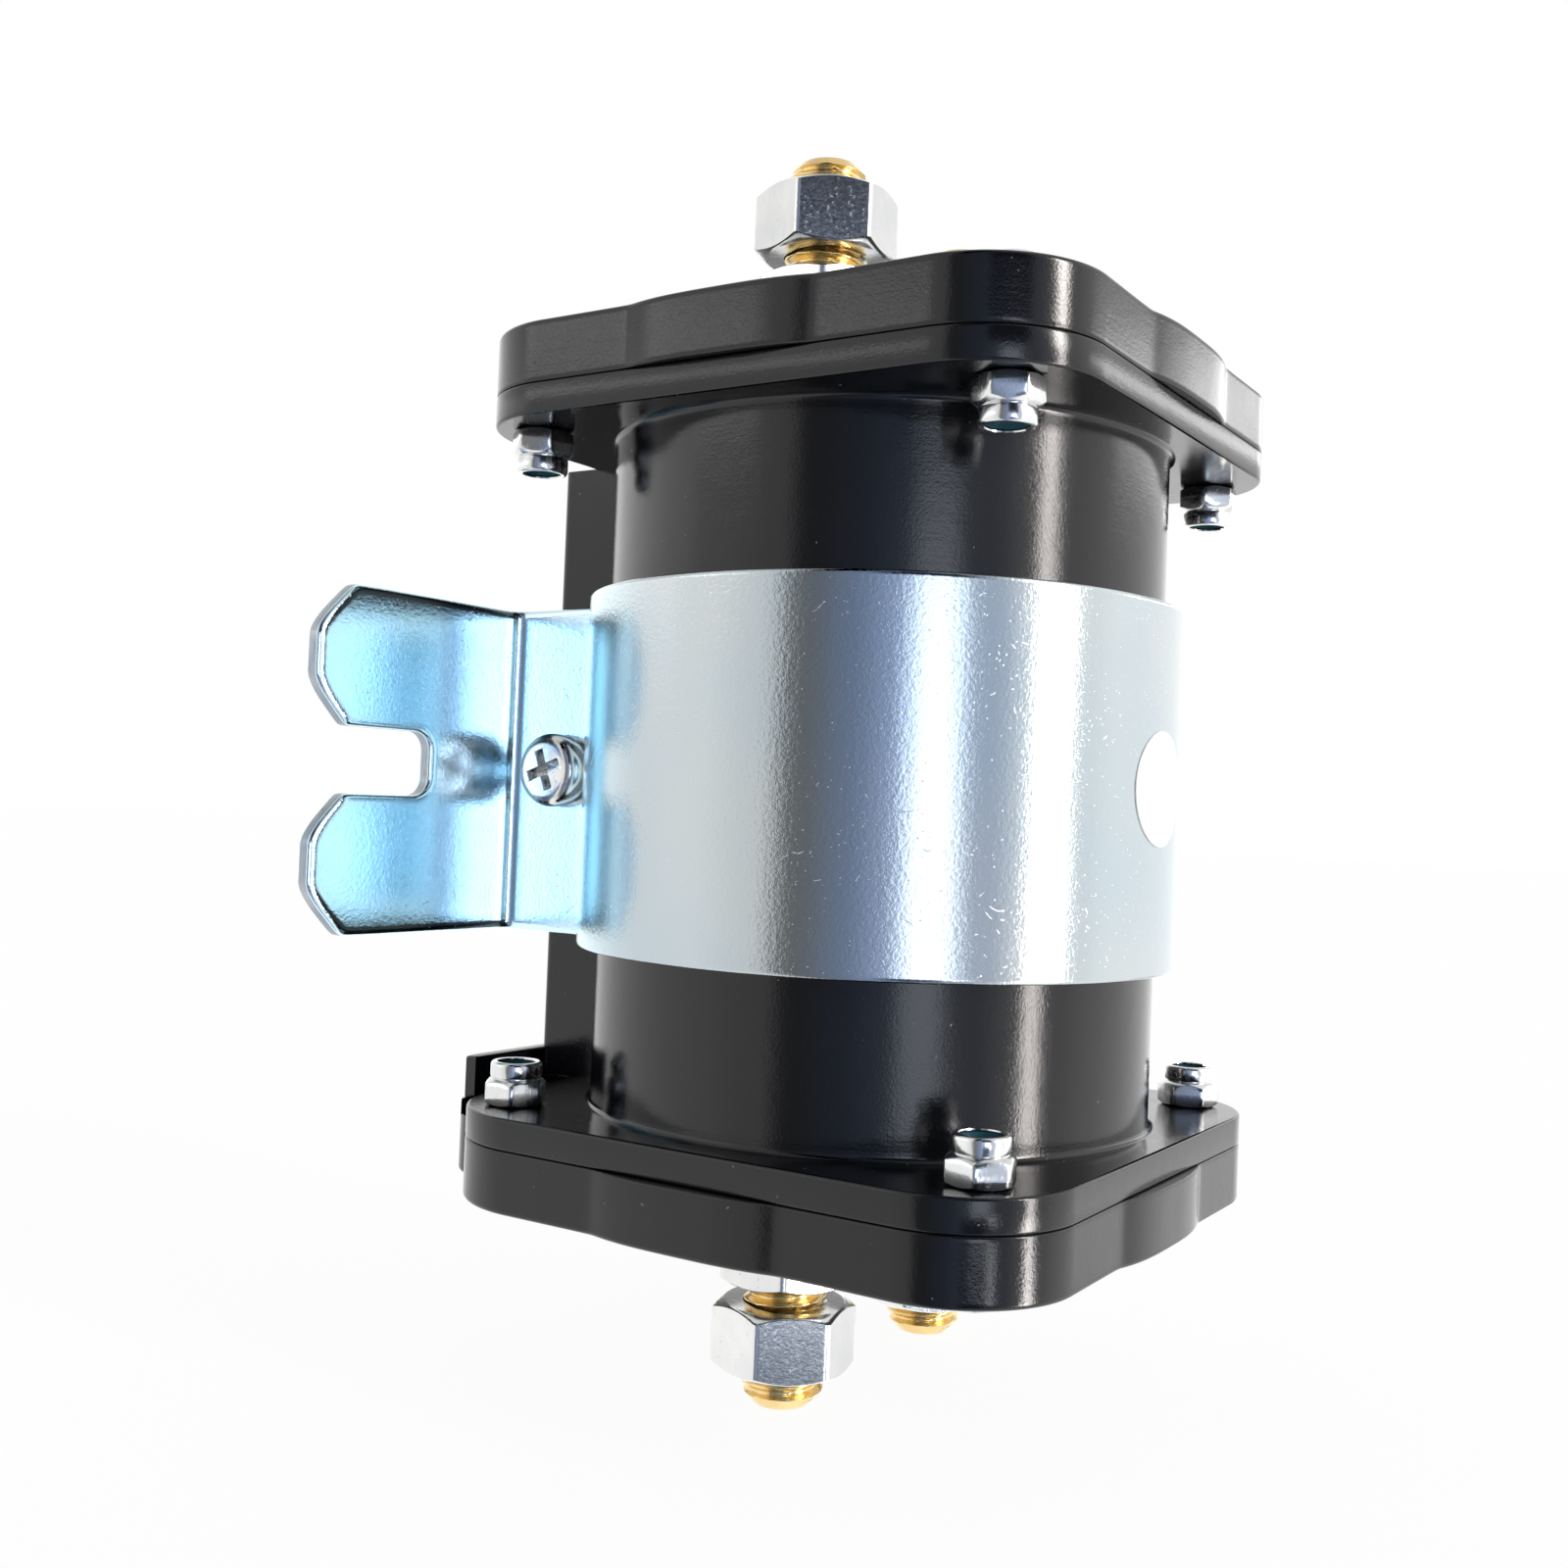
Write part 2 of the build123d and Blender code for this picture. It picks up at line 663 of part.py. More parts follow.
# Strap bracket: a band round the barrel, two strips along the rib and an ear at the end of each
with BuildPart() as mounting_bracket:
    with BuildSketch(level(-strap_height / 2)):
        Circle(strap_outer)
        with Locations((0, axis_setback / 2)):
            Rectangle(2 * strip_outer, axis_setback)
        with Locations((0, axis_setback - strap_thick / 2)):
            Rectangle(2 * ear_reach, strap_thick)
        Circle(strap_inner, mode=Mode.SUBTRACT)
        with Locations((0, axis_setback / 2)):
            Rectangle(2 * strip_inner, axis_setback, mode=Mode.SUBTRACT)
    extrude(amount=strap_height)
    corners = mounting_bracket.edges().filter_by(Axis.Z)
    fillet(corners.filter_by(lambda edge: abs(abs(edge.center().X) - strip_outer) < 0.01), strap_bend)
    fillet(
        corners.filter_by(lambda edge: abs(abs(edge.center().X) - strip_inner) < 0.01),
        strap_bend + strap_thick,
    )
    with BuildSketch(Plane((0, 0, 0), x_dir=(1, 0, 0), z_dir=(0, -1, 0))) as ear_cuts:
        with BuildLine():
            Polyline(
                (slot_root, slot_width / 2),
                (ear_reach - ear_inner_cut, slot_width / 2),
                (ear_reach, slot_width / 2 + ear_inner_cut),
                (ear_reach, -slot_width / 2 - ear_inner_cut),
                (ear_reach - ear_inner_cut, -slot_width / 2),
                (slot_root, -slot_width / 2),
                close=True,
            )
        make_face()
        fillet(ear_cuts.vertices().group_by(Axis.X)[0], slot_corner)
        for end in (1, -1):
            with BuildLine():
                Polyline(
                    (ear_reach - ear_outer_cut, end * strap_height / 2),
                    (ear_reach, end * strap_height / 2),
                    (ear_reach, end * (strap_height / 2 - ear_outer_cut)),
                    close=True,
                )
            make_face()
        mirror(about=Plane.YZ)
    extrude(amount=strap_thick + strap_bend, mode=Mode.SUBTRACT)
    ear_corners = mounting_bracket.edges().filter_by(Axis.Y).filter_by(
        lambda edge: abs(edge.center().X) > ear_reach - ear_outer_cut - 0.01
    )
    fillet(ear_corners, ear_corner)
    with BuildSketch(Plane.YZ):
        with Locations((clamp_reach - axis_setback, 0)):
            Circle(clamp_hole_radius)
    extrude(amount=strip_outer + slip_gap, both=True, mode=Mode.SUBTRACT)
save(mounting_bracket, "mounting_bracket")


# Clamp screw through both strips behind the rib, with its nut on the far side
clamp_plane = Plane((-strip_outer, clamp_reach - axis_setback, 0), x_dir=(0, 1, 0), z_dir=(-1, 0, 0))
with BuildPart() as clamp_screw:
    with Locations(clamp_plane):
        add(pan_head(clamp_head_radius, clamp_head_thick))
    with BuildSketch(clamp_plane):
        Circle(clamp_radius)
    extrude(amount=-(2 * strip_outer + clamp_nut_thick + clamp_overrun))
    with BuildSketch(clamp_plane.offset(clamp_head_thick)):
        Rectangle(clamp_recess_span, clamp_recess_width, rotation=clamp_turn)
        Rectangle(clamp_recess_width, clamp_recess_span, rotation=clamp_turn)
    extrude(amount=-clamp_recess_depth, taper=clamp_recess_taper, mode=Mode.SUBTRACT)
save(clamp_screw, "clamp_screw")

with BuildPart() as clamp_nut:
    with Locations(Plane((strip_outer, clamp_reach - axis_setback, 0), x_dir=(0, 1, 0), z_dir=(1, 0, 0))):
        add(hex_nut(clamp_nut_flats, clamp_nut_thick, clamp_radius + thread_gap))
save(clamp_nut, "clamp_nut")


# Round label on the front of the band
with BuildPart() as front_label:
    with BuildSketch(level(-label_radius)):
        Circle(strap_outer + label_thick)
        Circle(strap_outer, mode=Mode.SUBTRACT)
    extrude(amount=2 * label_radius)
    with BuildSketch(Plane((0, -axis_setback, 0), x_dir=(1, 0, 0), z_dir=(0, -1, 0))):
        Circle(label_radius)
    extrude(amount=strap_outer + label_thick, mode=Mode.INTERSECT)
save(front_label, "front_label")
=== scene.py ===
import json

import bpy
import numpy as np
from mathutils import Matrix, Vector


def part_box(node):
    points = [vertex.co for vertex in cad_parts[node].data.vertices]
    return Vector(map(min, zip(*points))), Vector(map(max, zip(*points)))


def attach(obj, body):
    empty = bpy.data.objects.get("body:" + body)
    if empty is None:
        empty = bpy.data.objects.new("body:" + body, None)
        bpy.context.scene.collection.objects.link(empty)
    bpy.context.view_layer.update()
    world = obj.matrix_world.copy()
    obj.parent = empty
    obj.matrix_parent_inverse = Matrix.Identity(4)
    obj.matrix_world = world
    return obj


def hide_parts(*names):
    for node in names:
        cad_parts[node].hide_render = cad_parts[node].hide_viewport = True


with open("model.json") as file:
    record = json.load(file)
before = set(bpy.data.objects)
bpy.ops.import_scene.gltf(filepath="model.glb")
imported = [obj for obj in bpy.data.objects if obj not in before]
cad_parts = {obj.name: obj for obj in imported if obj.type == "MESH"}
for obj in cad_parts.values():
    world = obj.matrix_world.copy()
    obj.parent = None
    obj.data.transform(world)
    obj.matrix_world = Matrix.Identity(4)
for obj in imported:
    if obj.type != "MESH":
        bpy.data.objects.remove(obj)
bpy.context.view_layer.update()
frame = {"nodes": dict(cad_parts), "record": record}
print("frame loaded:", len(frame["nodes"]), "nodes")

millimetre = 0.001


def boxOf(node):    # lowest and highest corner of a node in millimetres
    low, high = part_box(node)
    return np.array(low) / millimetre, np.array(high) / millimetre


# The places that everything hangs on, read from the frame
housingHigh = boxOf("housing")[1]
coverHigh = boxOf("top_cover")[1]
lowerCoverHigh = boxOf("bottom_cover")[1]
bracketHigh = boxOf("mounting_bracket")[1]
yokeLow, yokeHigh = boxOf("yoke_shell")
axisY = (yokeLow[1] + yokeHigh[1]) / 2        # barrel axis, in front of the mounting plane
parting = housingHigh[2]                      # housing meets cover
coverFace = coverHigh[2]


# Meshes

def gridQuads(m, n, i, j):    # each corner with the next in both directions, the last one with the first
    after, beside = (i[:, None] + 1) % m, (j + 1) % n
    here = i[:, None] * n
    return np.stack([here + j, here + beside, after * n + beside, after * n + j], -1).reshape(-1, 4)


def skin(rows, loop):
    # rings of equal length joined by quads; the rows meet in a loop, or a pole closes each end
    m, n = rows.shape[:2]
    j = np.arange(n)
    quads = gridQuads(m, n, np.arange(m if loop else m - 1), j)
    points = rows.reshape(-1, 3)
    if loop:
        return points, quads, np.zeros((0, 3), int)
    pole, last = m * n, (m - 1) * n
    fans = [np.stack([np.full(n, pole), (j + 1) % n, j], -1),
            np.stack([np.full(n, pole + 1), last + j, last + (j + 1) % n], -1)]
    return np.vstack([points, rows[0].mean(0), rows[-1].mean(0)]), quads, np.vstack(fans)


def outward(points, quads, triangles):
    # six times the volume is the sum of a . (b x c); a negative one means that the shell is inside out
    fans = np.vstack([quads[:, [0, 1, 2]], quads[:, [0, 2, 3]], triangles])
    a, b, c = points[fans[:, 0]], points[fans[:, 1]], points[fans[:, 2]]
    if np.einsum("ij,ij->i", a, np.cross(b, c)).sum() < 0:
        return points, quads[:, ::-1], triangles[:, ::-1]
    return points, quads, triangles


def newObject(name, data):    # an object of its own in the scene
    made = bpy.data.objects.new(name, data)
    bpy.context.scene.collection.objects.link(made)
    return made


def addPiece(name, shells, node, slotName, sharpAngle=40):
    # shells in millimetres in one mesh, each one's numbers after the points before it; it takes the place
    # of its node, wears the slot's finish and rides on the housing
    shells = [outward(*shell) for shell in shells]
    starts = np.cumsum([0] + [len(shell[0]) for shell in shells])
    points, quads, triangles = (np.vstack([shell[k] + (start if k else 0) for shell, start in zip(shells, starts)])
                                for k in range(3))
    mesh = bpy.data.meshes.new(name)
    mesh.from_pydata(points * millimetre, [], quads.tolist() + triangles.tolist(), shade_flat=False)
    mesh.validate()
    mesh.set_sharp_from_angle(angle=np.radians(sharpAngle))
    mesh.materials.append(finish[slotFinish[slotName]])
    piece = newObject(name, mesh)
    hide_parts(node)
    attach(piece, "housing")
    return piece


def placed(rows, origin, along=(0, 0, 1), across=(1, 0, 0), turn=0.0):
    # rows stand on their own z axis; turned about it by degrees, z laid along a direction, then moved
    z = np.array(along, float)
    x = np.array(across, float)
    y = np.cross(z, x)
    a = np.radians(turn)
    turnedX = x * np.cos(a) + y * np.sin(a)
    turnedY = y * np.cos(a) - x * np.sin(a)
    return rows @ np.stack([turnedX, turnedY, z]) + np.array(origin, float)


def ringRows(angles, rings):
    # each ring is a radius and a height, numbers or one per angle, laid round the z axis
    radii, heights = (np.array([ring[k] + 0 * angles for ring in rings]) for k in (0, 1))
    return np.stack([radii * np.sin(angles), radii * np.cos(angles), heights], -1)


def fullTurn(count):    # even steps round a circle, the first at nought
    return np.linspace(0, 2 * np.pi, count, endpoint=False)


def softMax(a, b, width):    # the larger of two, the crease between them rounded over a width
    return 0.5 * (a + b + np.sqrt((a - b) ** 2 + width ** 2))


def softMin(a, b, width):    # the smaller of two, rounded in the same way
    return 0.5 * (a + b - np.sqrt((a - b) ** 2 + width ** 2))


def edgeArc(radius, steps=5):
    # quarter of a circle as pairs of inset and drop, from the side (0, radius) to the face (radius, 0)
    a = np.linspace(0, np.pi / 2, steps)
    return [(radius * (1 - np.cos(t)), radius * (1 - np.sin(t))) for t in a]


def roundedSquare(angles, half, corner):
    # polar radius of a square with round corners, folded into one eighth of a turn
    big = np.maximum(np.abs(np.sin(angles)), np.abs(np.cos(angles)))
    small = np.minimum(np.abs(np.sin(angles)), np.abs(np.cos(angles)))
    centre = half - corner
    toward = centre * (big + small)
    inside = np.maximum(toward ** 2 - 2 * centre ** 2 + corner ** 2, 0)
    return np.where(small / big < centre / half, half / big, toward + np.sqrt(inside))


def backTongue(angles, halfWidth, reach, corner):
    # polar radius of a tongue that runs from the axis to the back, its two far corners round
    x = np.abs(np.sin(angles))
    y = np.cos(angles)
    tiny = 1e-9
    straight = np.minimum(halfWidth / np.maximum(x, tiny), reach / np.maximum(y, tiny))
    centre = np.array([halfWidth - corner, reach - corner])
    toward = centre[0] * x + centre[1] * y
    inside = np.maximum(toward ** 2 - centre @ centre + corner ** 2, 0)
    slope = x / np.maximum(y, tiny)
    rounded = (slope > centre[0] / reach) & (slope < halfWidth / centre[1])
    return np.where(y > 0, np.where(rounded, toward + np.sqrt(inside), straight), 0)


# Shader maths: a wire is one output socket, and expressions on wires add Math nodes

class Wire:
    def __init__(self, graph, socket):
        self.graph = graph
        self.socket = socket

    def maths(self, operation, *others):    # a Math node with this wire as its first value
        return self.graph.node("Math", dict(enumerate([self, *others])), operation=operation)

    def __add__(self, other):
        return self.maths("ADD", other)

    __radd__ = __add__

    def __sub__(self, other):
        return self.maths("SUBTRACT", other)

    def __rsub__(self, other):
        return self.graph.node("Math", {0: other, 1: self}, operation="SUBTRACT")

    def __mul__(self, other):
        return self.maths("MULTIPLY", other)

    __rmul__ = __mul__

    def __gt__(self, other):
        return self.maths("GREATER_THAN", other)

    def scaled(self, factor):    # a colour or vector times a number
        return self.graph.scaled(self, factor)

    def plus(self, other):    # two colours or vectors
        return self.graph.node("VectorMath", {0: self, 1: other}, operation="ADD")

    def clamped(self):    # kept between 0 and 1
        return self.maths("MAXIMUM", 0).maths("MINIMUM", 1)

    def ramp(self, low, high):    # smooth step from 0 at the one value to 1 at the other
        values = {"Value": self, "From Min": low, "From Max": high}
        return self.graph.node("MapRange", values, interpolation_type="SMOOTHSTEP")


class Graph:
    def __init__(self, tree):
        self.tree = tree
        tree.nodes.clear()

    def raw(self, kind, values, **settings):
        # any node: its settings first, then the values or links of its sockets
        made = self.tree.nodes.new("ShaderNode" + kind)
        for key, value in settings.items():
            setattr(made, key, value)
        for key, value in values.items():
            if isinstance(value, Wire):
                self.tree.links.new(value.socket, made.inputs[key])
            else:
                made.inputs[key].default_value = value
        return made

    def node(self, kind, values, output=0, **settings):    # the same, as the wire of one output
        return Wire(self, self.raw(kind, values, **settings).outputs[output])

    def parts(self, vector):    # x, y and z of a vector
        return [Wire(self, socket) for socket in self.raw("SeparateXYZ", {"Vector": vector}).outputs]

    def scaled(self, vector, factor):    # a colour or vector, wire or constant, times a number
        return self.node("VectorMath", {"Vector": vector, "Scale": factor}, operation="SCALE")

    def place(self):    # the point on the object, in metres
        return self.node("TexCoord", {}, "Object")

    def stretched(self, place, longer, turn=(0, 0, 0)):    # turned first, then drawn out along each axis
        return self.node("Mapping", {"Vector": place, "Scale": longer, "Rotation": turn}, vector_type="TEXTURE")

    def noise(self, place, scale, detail, roughness=0.5):    # fractal noise, a half in the mean
        values = {"Vector": place, "Scale": scale, "Detail": detail, "Roughness": roughness}
        return self.node("TexNoise", values, "Fac")

    def flecks(self, place, scale, size, share):
        # a round mark about the middle of each cell whose random number lies in the share
        cells = self.raw("TexVoronoi", {"Vector": place, "Scale": scale})
        chance = self.parts(Wire(self, cells.outputs["Color"]))[0]
        return Wire(self, cells.outputs["Distance"]).ramp(size, size / 2) * (chance > 1 - share)

    def mix(self, factor, a, b):    # colour a at nought, colour b at one
        return self.node("Mix", {0: factor, 6: a, 7: b}, 2, data_type="RGBA")

    def bent(self, place, look):    # the place with a small drift, which bends straight marks
        drift = self.node("TexNoise", {"Vector": place, "Scale": look["bendScale"]}, "Color")
        size = look["bendSize"]
        values = {0: drift, 1: (size,) * 3, 2: (-size / 2,) * 3}
        return place.plus(self.node("VectorMath", values, operation="MULTIPLY_ADD"))

    def bump(self, height, distance, under=None):    # normal of a height times the distance, over another's
        values = {"Height": height, "Distance": distance}
        if under:
            values["Normal"] = under
        return self.node("Bump", values)

    def surface(self, colour, rough, normal, more):    # principled shader into the material's output
        shader = self.node("BsdfPrincipled", {"Base Color": colour, "Roughness": rough, "Normal": normal, **more})
        self.raw("OutputMaterial", {"Surface": shader})


def newMaterial(name):    # an empty material and its graph
    material = bpy.data.materials.new(name)
    material.use_nodes = True
    return material, Graph(material.node_tree)


# Finishes: lengths are in metres, and a noise is its cells per metre, detail and roughness

def mouldedBlack(name, look):
    # glossy moulded plastic: a slow colour drift, fine peel, faint draw lines along Z, pale dust and hairs
    material, graph = newMaterial(name)
    place = graph.place()
    drift = graph.noise(place, *look["drift"])
    peel = graph.noise(place, *look["peel"])
    grain = graph.noise(place, *look["grain"])
    lines = graph.noise(graph.stretched(place, look["lineStretch"]), *look["lines"])
    clouds = graph.noise(place, *look["clouds"])
    dust = (clouds * (1 - look["dustDrift"]) + drift * look["dustDrift"]).ramp(*look["dustRange"])
    bent = graph.bent(place, look)
    for turn, longer, scale, size, share in look["hairs"]:
        dust = dust + graph.flecks(graph.stretched(bent, (1, 1, longer), turn), scale, size, share)
    dust = dust.clamped()
    colour = graph.mix(dust, graph.mix(drift, look["dark"], look["light"]), look["dustColour"])
    rough = grain * look["roughGrain"] + look["roughness"] + dust * look["dustRough"]
    lined = graph.bump(lines, look["lineDepth"], graph.bump(peel, look["peelDepth"]))
    fine = graph.bump(grain, look["grainDepth"], lined)
    graph.surface(colour, rough, fine, {"IOR": look["ior"]})
    return material


def zincSheet(name, look):
    # bright zinc plate: blue film that drifts, speckled grain, short scratches that cross, tiny pits, and a painted
    # reflection tint that turns it bluer towards the ears
    material, graph = newMaterial(name)
    place = graph.place()
    drift = graph.noise(place, *look["drift"])
    grain = graph.noise(place, *look["grain"])
    rolled = graph.noise(graph.stretched(place, look["rollStretch"]), *look["rolled"])
    where = graph.noise(place, *look["patches"]).ramp(*look["patchRange"])
    # painted reflection tint: from the band's back out to the ears the colour is mixed towards blue, standing in for
    # the blue that ear, strip and band reflect into each other
    behind = graph.parts(place)[1].ramp(*look["paintedBlueFrom"])
    colour = graph.mix(drift.ramp(*look["driftRange"]), look["tint"], look["tintTwo"])
    colour = graph.mix(behind, colour, look["blue"])
    marks = graph.flecks(place, look["pitScale"], look["pitSize"], look["pitShare"])
    bent = graph.bent(place, look)
    for turn, longer, scale, share in look["scratches"]:
        line = graph.flecks(graph.stretched(bent, (1, 1, longer), turn), scale, look["scratchWidth"], share)
        marks = marks + line * where
    marks = marks.clamped()
    marked = graph.mix(marks, colour, look["markColour"])
    rough = grain * look["roughGrain"] + look["roughness"] + marks * look["markRough"]
    speckled = graph.bump(grain, look["grainDepth"], graph.bump(rolled, look["rollDepth"]))
    cut = graph.bump(marks, look["markDepth"], speckled)
    graph.surface(marked, rough, cut, {"Metallic": 1})
    return material


def platedMetal(name, look):
    # machined and plated metal: faint stain, dark specks, upright streaks, fine grain
    material, graph = newMaterial(name)
    place = graph.place()
    stain = graph.noise(place, *look["stain"])
    grain = graph.noise(place, *look["grain"])
    streak = graph.noise(graph.stretched(place, look["streakStretch"]), *look["streak"])
    speck = (grain * (1 - look["streakShare"]) + streak * look["streakShare"]).ramp(*look["speckRange"])
    colour = graph.mix(stain.ramp(*look["stainRange"]), look["tint"], look["tintTwo"])
    colour = graph.mix(speck, colour, colour.scaled(look["speckShade"]))
    rough = grain * look["roughGrain"] + look["roughness"] + speck * look["speckRough"]
    normal = graph.bump(grain + streak, look["grainDepth"])
    graph.surface(colour, rough, normal, {"Metallic": 1})
    return material


def plainMoulding(name, look):
    # matt moulded or pressed material with mottle and grain
    material, graph = newMaterial(name)
    place = graph.place()
    mottle = graph.noise(place, *look["mottle"])
    grain = graph.noise(place, *look["grain"])
    colour = graph.mix(mottle, look["dark"], look["light"])
    rough = grain * look["roughGrain"] + look["roughness"]
    normal = graph.bump(grain, look["grainDepth"])
    graph.surface(colour, rough, normal, {})
    return material


plasticLook = dict(
    dark=(0.0035, 0.0040, 0.0055, 1), light=(0.0060, 0.0062, 0.0078, 1), drift=(60, 3),
    peel=(350, 3), peelDepth=0.00002, grain=(4200, 2, 0.7), grainDepth=0.000012,
    lineStretch=(1, 1, 0.025), lines=(90, 2), lineDepth=0.000004,
    roughness=0.09, roughGrain=0.06, ior=1.48,
    clouds=(1500, 1), dustDrift=0.3, dustRange=(0.72, 0.77), dustRough=0.3,
    dustColour=(0.14, 0.15, 0.17, 1), bendScale=160, bendSize=0.004,
    # turn, length against width, cells per metre, width in cells, share of cells that hold one
    hairs=[((0.8, 0.3, 0), 16, 420, 0.035, 0.05), ((-0.5, 0.9, 0.4), 12, 380, 0.035, 0.05),
           ((0, 0, 0), 1, 900, 0.10, 0.05)],
)
sheetLook = dict(
    tint=(0.49, 0.56, 0.60, 1), tintTwo=(0.54, 0.58, 0.59, 1), drift=(40, 3),
    # blue, laid over the span of Y that follows it, is a painted reflection tint on top of the plating's own colour
    driftRange=(0.35, 0.65), blue=(0.72, 0.92, 1, 1), paintedBlueFrom=(-0.034, -0.020),
    grain=(2600, 3, 0.7), grainDepth=0.000024, roughness=0.07, roughGrain=0.10,
    rollStretch=(1, 1, 8), rolled=(700, 2), rollDepth=0.000006,
    pitScale=2300, pitSize=0.17, pitShare=0.12, patches=(90, 1), patchRange=(0.40, 0.60),
    # turn, length against width, cells per metre, share of cells that hold one
    scratches=[((0.9, 0.2, 0), 30, 1700, 0.42), ((0.2, 1.1, 0.5), 26, 1600, 0.42),
               ((1.5, 0.3, 1), 34, 1900, 0.40), ((0.4, -0.6, 0.2), 22, 1500, 0.42),
               ((-0.8, 0.5, 0.9), 16, 1800, 0.45)],
    scratchWidth=0.12, bendScale=260, bendSize=0.0030,
    markDepth=0.000006, markRough=0.42, markColour=(0.66, 0.70, 0.73, 1),
)
fastenerLook = dict(
    tint=(0.72, 0.73, 0.73, 1), tintTwo=(0.82, 0.82, 0.80, 1), stain=(180, 3),
    stainRange=(0.3, 0.7), grain=(2600, 3, 0.7), grainDepth=0.000010, roughness=0.10,
    roughGrain=0.12, streakStretch=(1, 1, 7), streak=(1500, 3, 0.7), streakShare=0.45,
    speckRange=(0.57, 0.65), speckShade=0.84, speckRough=0.16,
)
nylonLook = dict(
    dark=(0.010, 0.060, 0.085, 1), light=(0.018, 0.095, 0.125, 1), mottle=(400, 3),
    grain=(2500, 2), grainDepth=0.00001, roughness=0.35, roughGrain=0.1,
)
metals = dict(    # what differs from the fasteners' look
    zincFastener={},
    shearedZinc=dict(tint=(0.30, 0.35, 0.40, 1), tintTwo=(0.48, 0.50, 0.52, 1), roughness=0.26,
                     roughGrain=0.2, grain=(1600, 3, 0.7), grainDepth=0.00003),
    studBrass=dict(tint=(0.80, 0.56, 0.22, 1), tintTwo=(0.88, 0.68, 0.34, 1), stain=(240, 3),
                   grainDepth=0.000008, roughness=0.16, speckShade=0.85),
    magnetIron=dict(tint=(0.36, 0.36, 0.37, 1), tintTwo=(0.46, 0.45, 0.44, 1), roughness=0.3),
    copperMetal=dict(tint=(0.70, 0.36, 0.20, 1), tintTwo=(0.80, 0.46, 0.28, 1), roughness=0.22),
    springWire=dict(tint=(0.52, 0.52, 0.54, 1), tintTwo=(0.60, 0.60, 0.61, 1), roughness=0.2),
)
mouldings = dict(    # what differs from the nylon's look
    tealNylon={},
    labelFilm=dict(dark=(0.76, 0.78, 0.78, 1), light=(0.82, 0.83, 0.82, 1), mottle=(300, 3),
                   grain=(3000, 2), grainDepth=0.000008, roughness=0.42),
    bobbinPlastic=dict(dark=(0.05, 0.05, 0.055, 1), light=(0.08, 0.08, 0.085, 1), roughness=0.5),
    barrierBoard=dict(dark=(0.36, 0.27, 0.17, 1), light=(0.46, 0.36, 0.24, 1), roughness=0.7),
    leadSleeve=dict(dark=(0.30, 0.02, 0.015, 1), light=(0.42, 0.04, 0.03, 1), roughness=0.5),
)
finish = {"blackPlastic": mouldedBlack("blackPlastic", plasticLook), "zincPlate": zincSheet("zincPlate", sheetLook)}
for name, changes in metals.items():
    finish[name] = platedMetal(name, {**fastenerLook, **changes})
for name, changes in mouldings.items():
    finish[name] = plainMoulding(name, {**nylonLook, **changes})
slotFinish = dict(
    housing_plastic="blackPlastic", cover_plastic="blackPlastic", zinc_plate="zincPlate",
    zinc_fastener="zincFastener", stud_brass="studBrass", nylon="tealNylon", label_film="labelFilm",
    magnet_iron="magnetIron", copper="copperMetal", bobbin_plastic="bobbinPlastic",
    barrier_board="barrierBoard", spring_steel="springWire", lead_sleeve="leadSleeve",
)
print("materials made:", len(bpy.data.materials))


def endRows(rows, end, x, y, height, turn=0.0):
    # rows stand on the upper end, or mirrored under the lower one
    rows = placed(rows, (x, y, height), turn=turn)
    rows[..., 2] *= 1 if end == "top" else -1
    return rows


def standing(rows, loop, end, places, height, turns=(0.0, 0.0)):
    # one shell for each place on an end, all at one height and each turned by its own degrees
    return [skin(endRows(rows, end, x, y, height, turn), loop) for (x, y), turn in zip(places, turns)]


# Housing: one skin of polar rings, round the barrel and out over both flanges

housing = dict(
    barrelRadius=28, boreRadius=yokeHigh[0] + 0.2, ribHalf=9, ribEdge=1, crease=0.3,
    ribReach=housingHigh[1] - axisY, notchReach=30.9, notchHalf=2.5, notchEdge=0.3,
    flangeHalf=housingHigh[0], flangeCorner=11, flangeThick=3, flangeEdge=0.3,
    neckFillet=0.6, neckSteps=8, filletFrom=18.5, filletOver=5,    # degrees from the rib's middle
    ringShares=(0.03, 0.3, 0.7), levels=10, levelGaps=(0.2, 0.5),
    count=1080, ribSpan=(12.5, 20), ribCount=70,
)


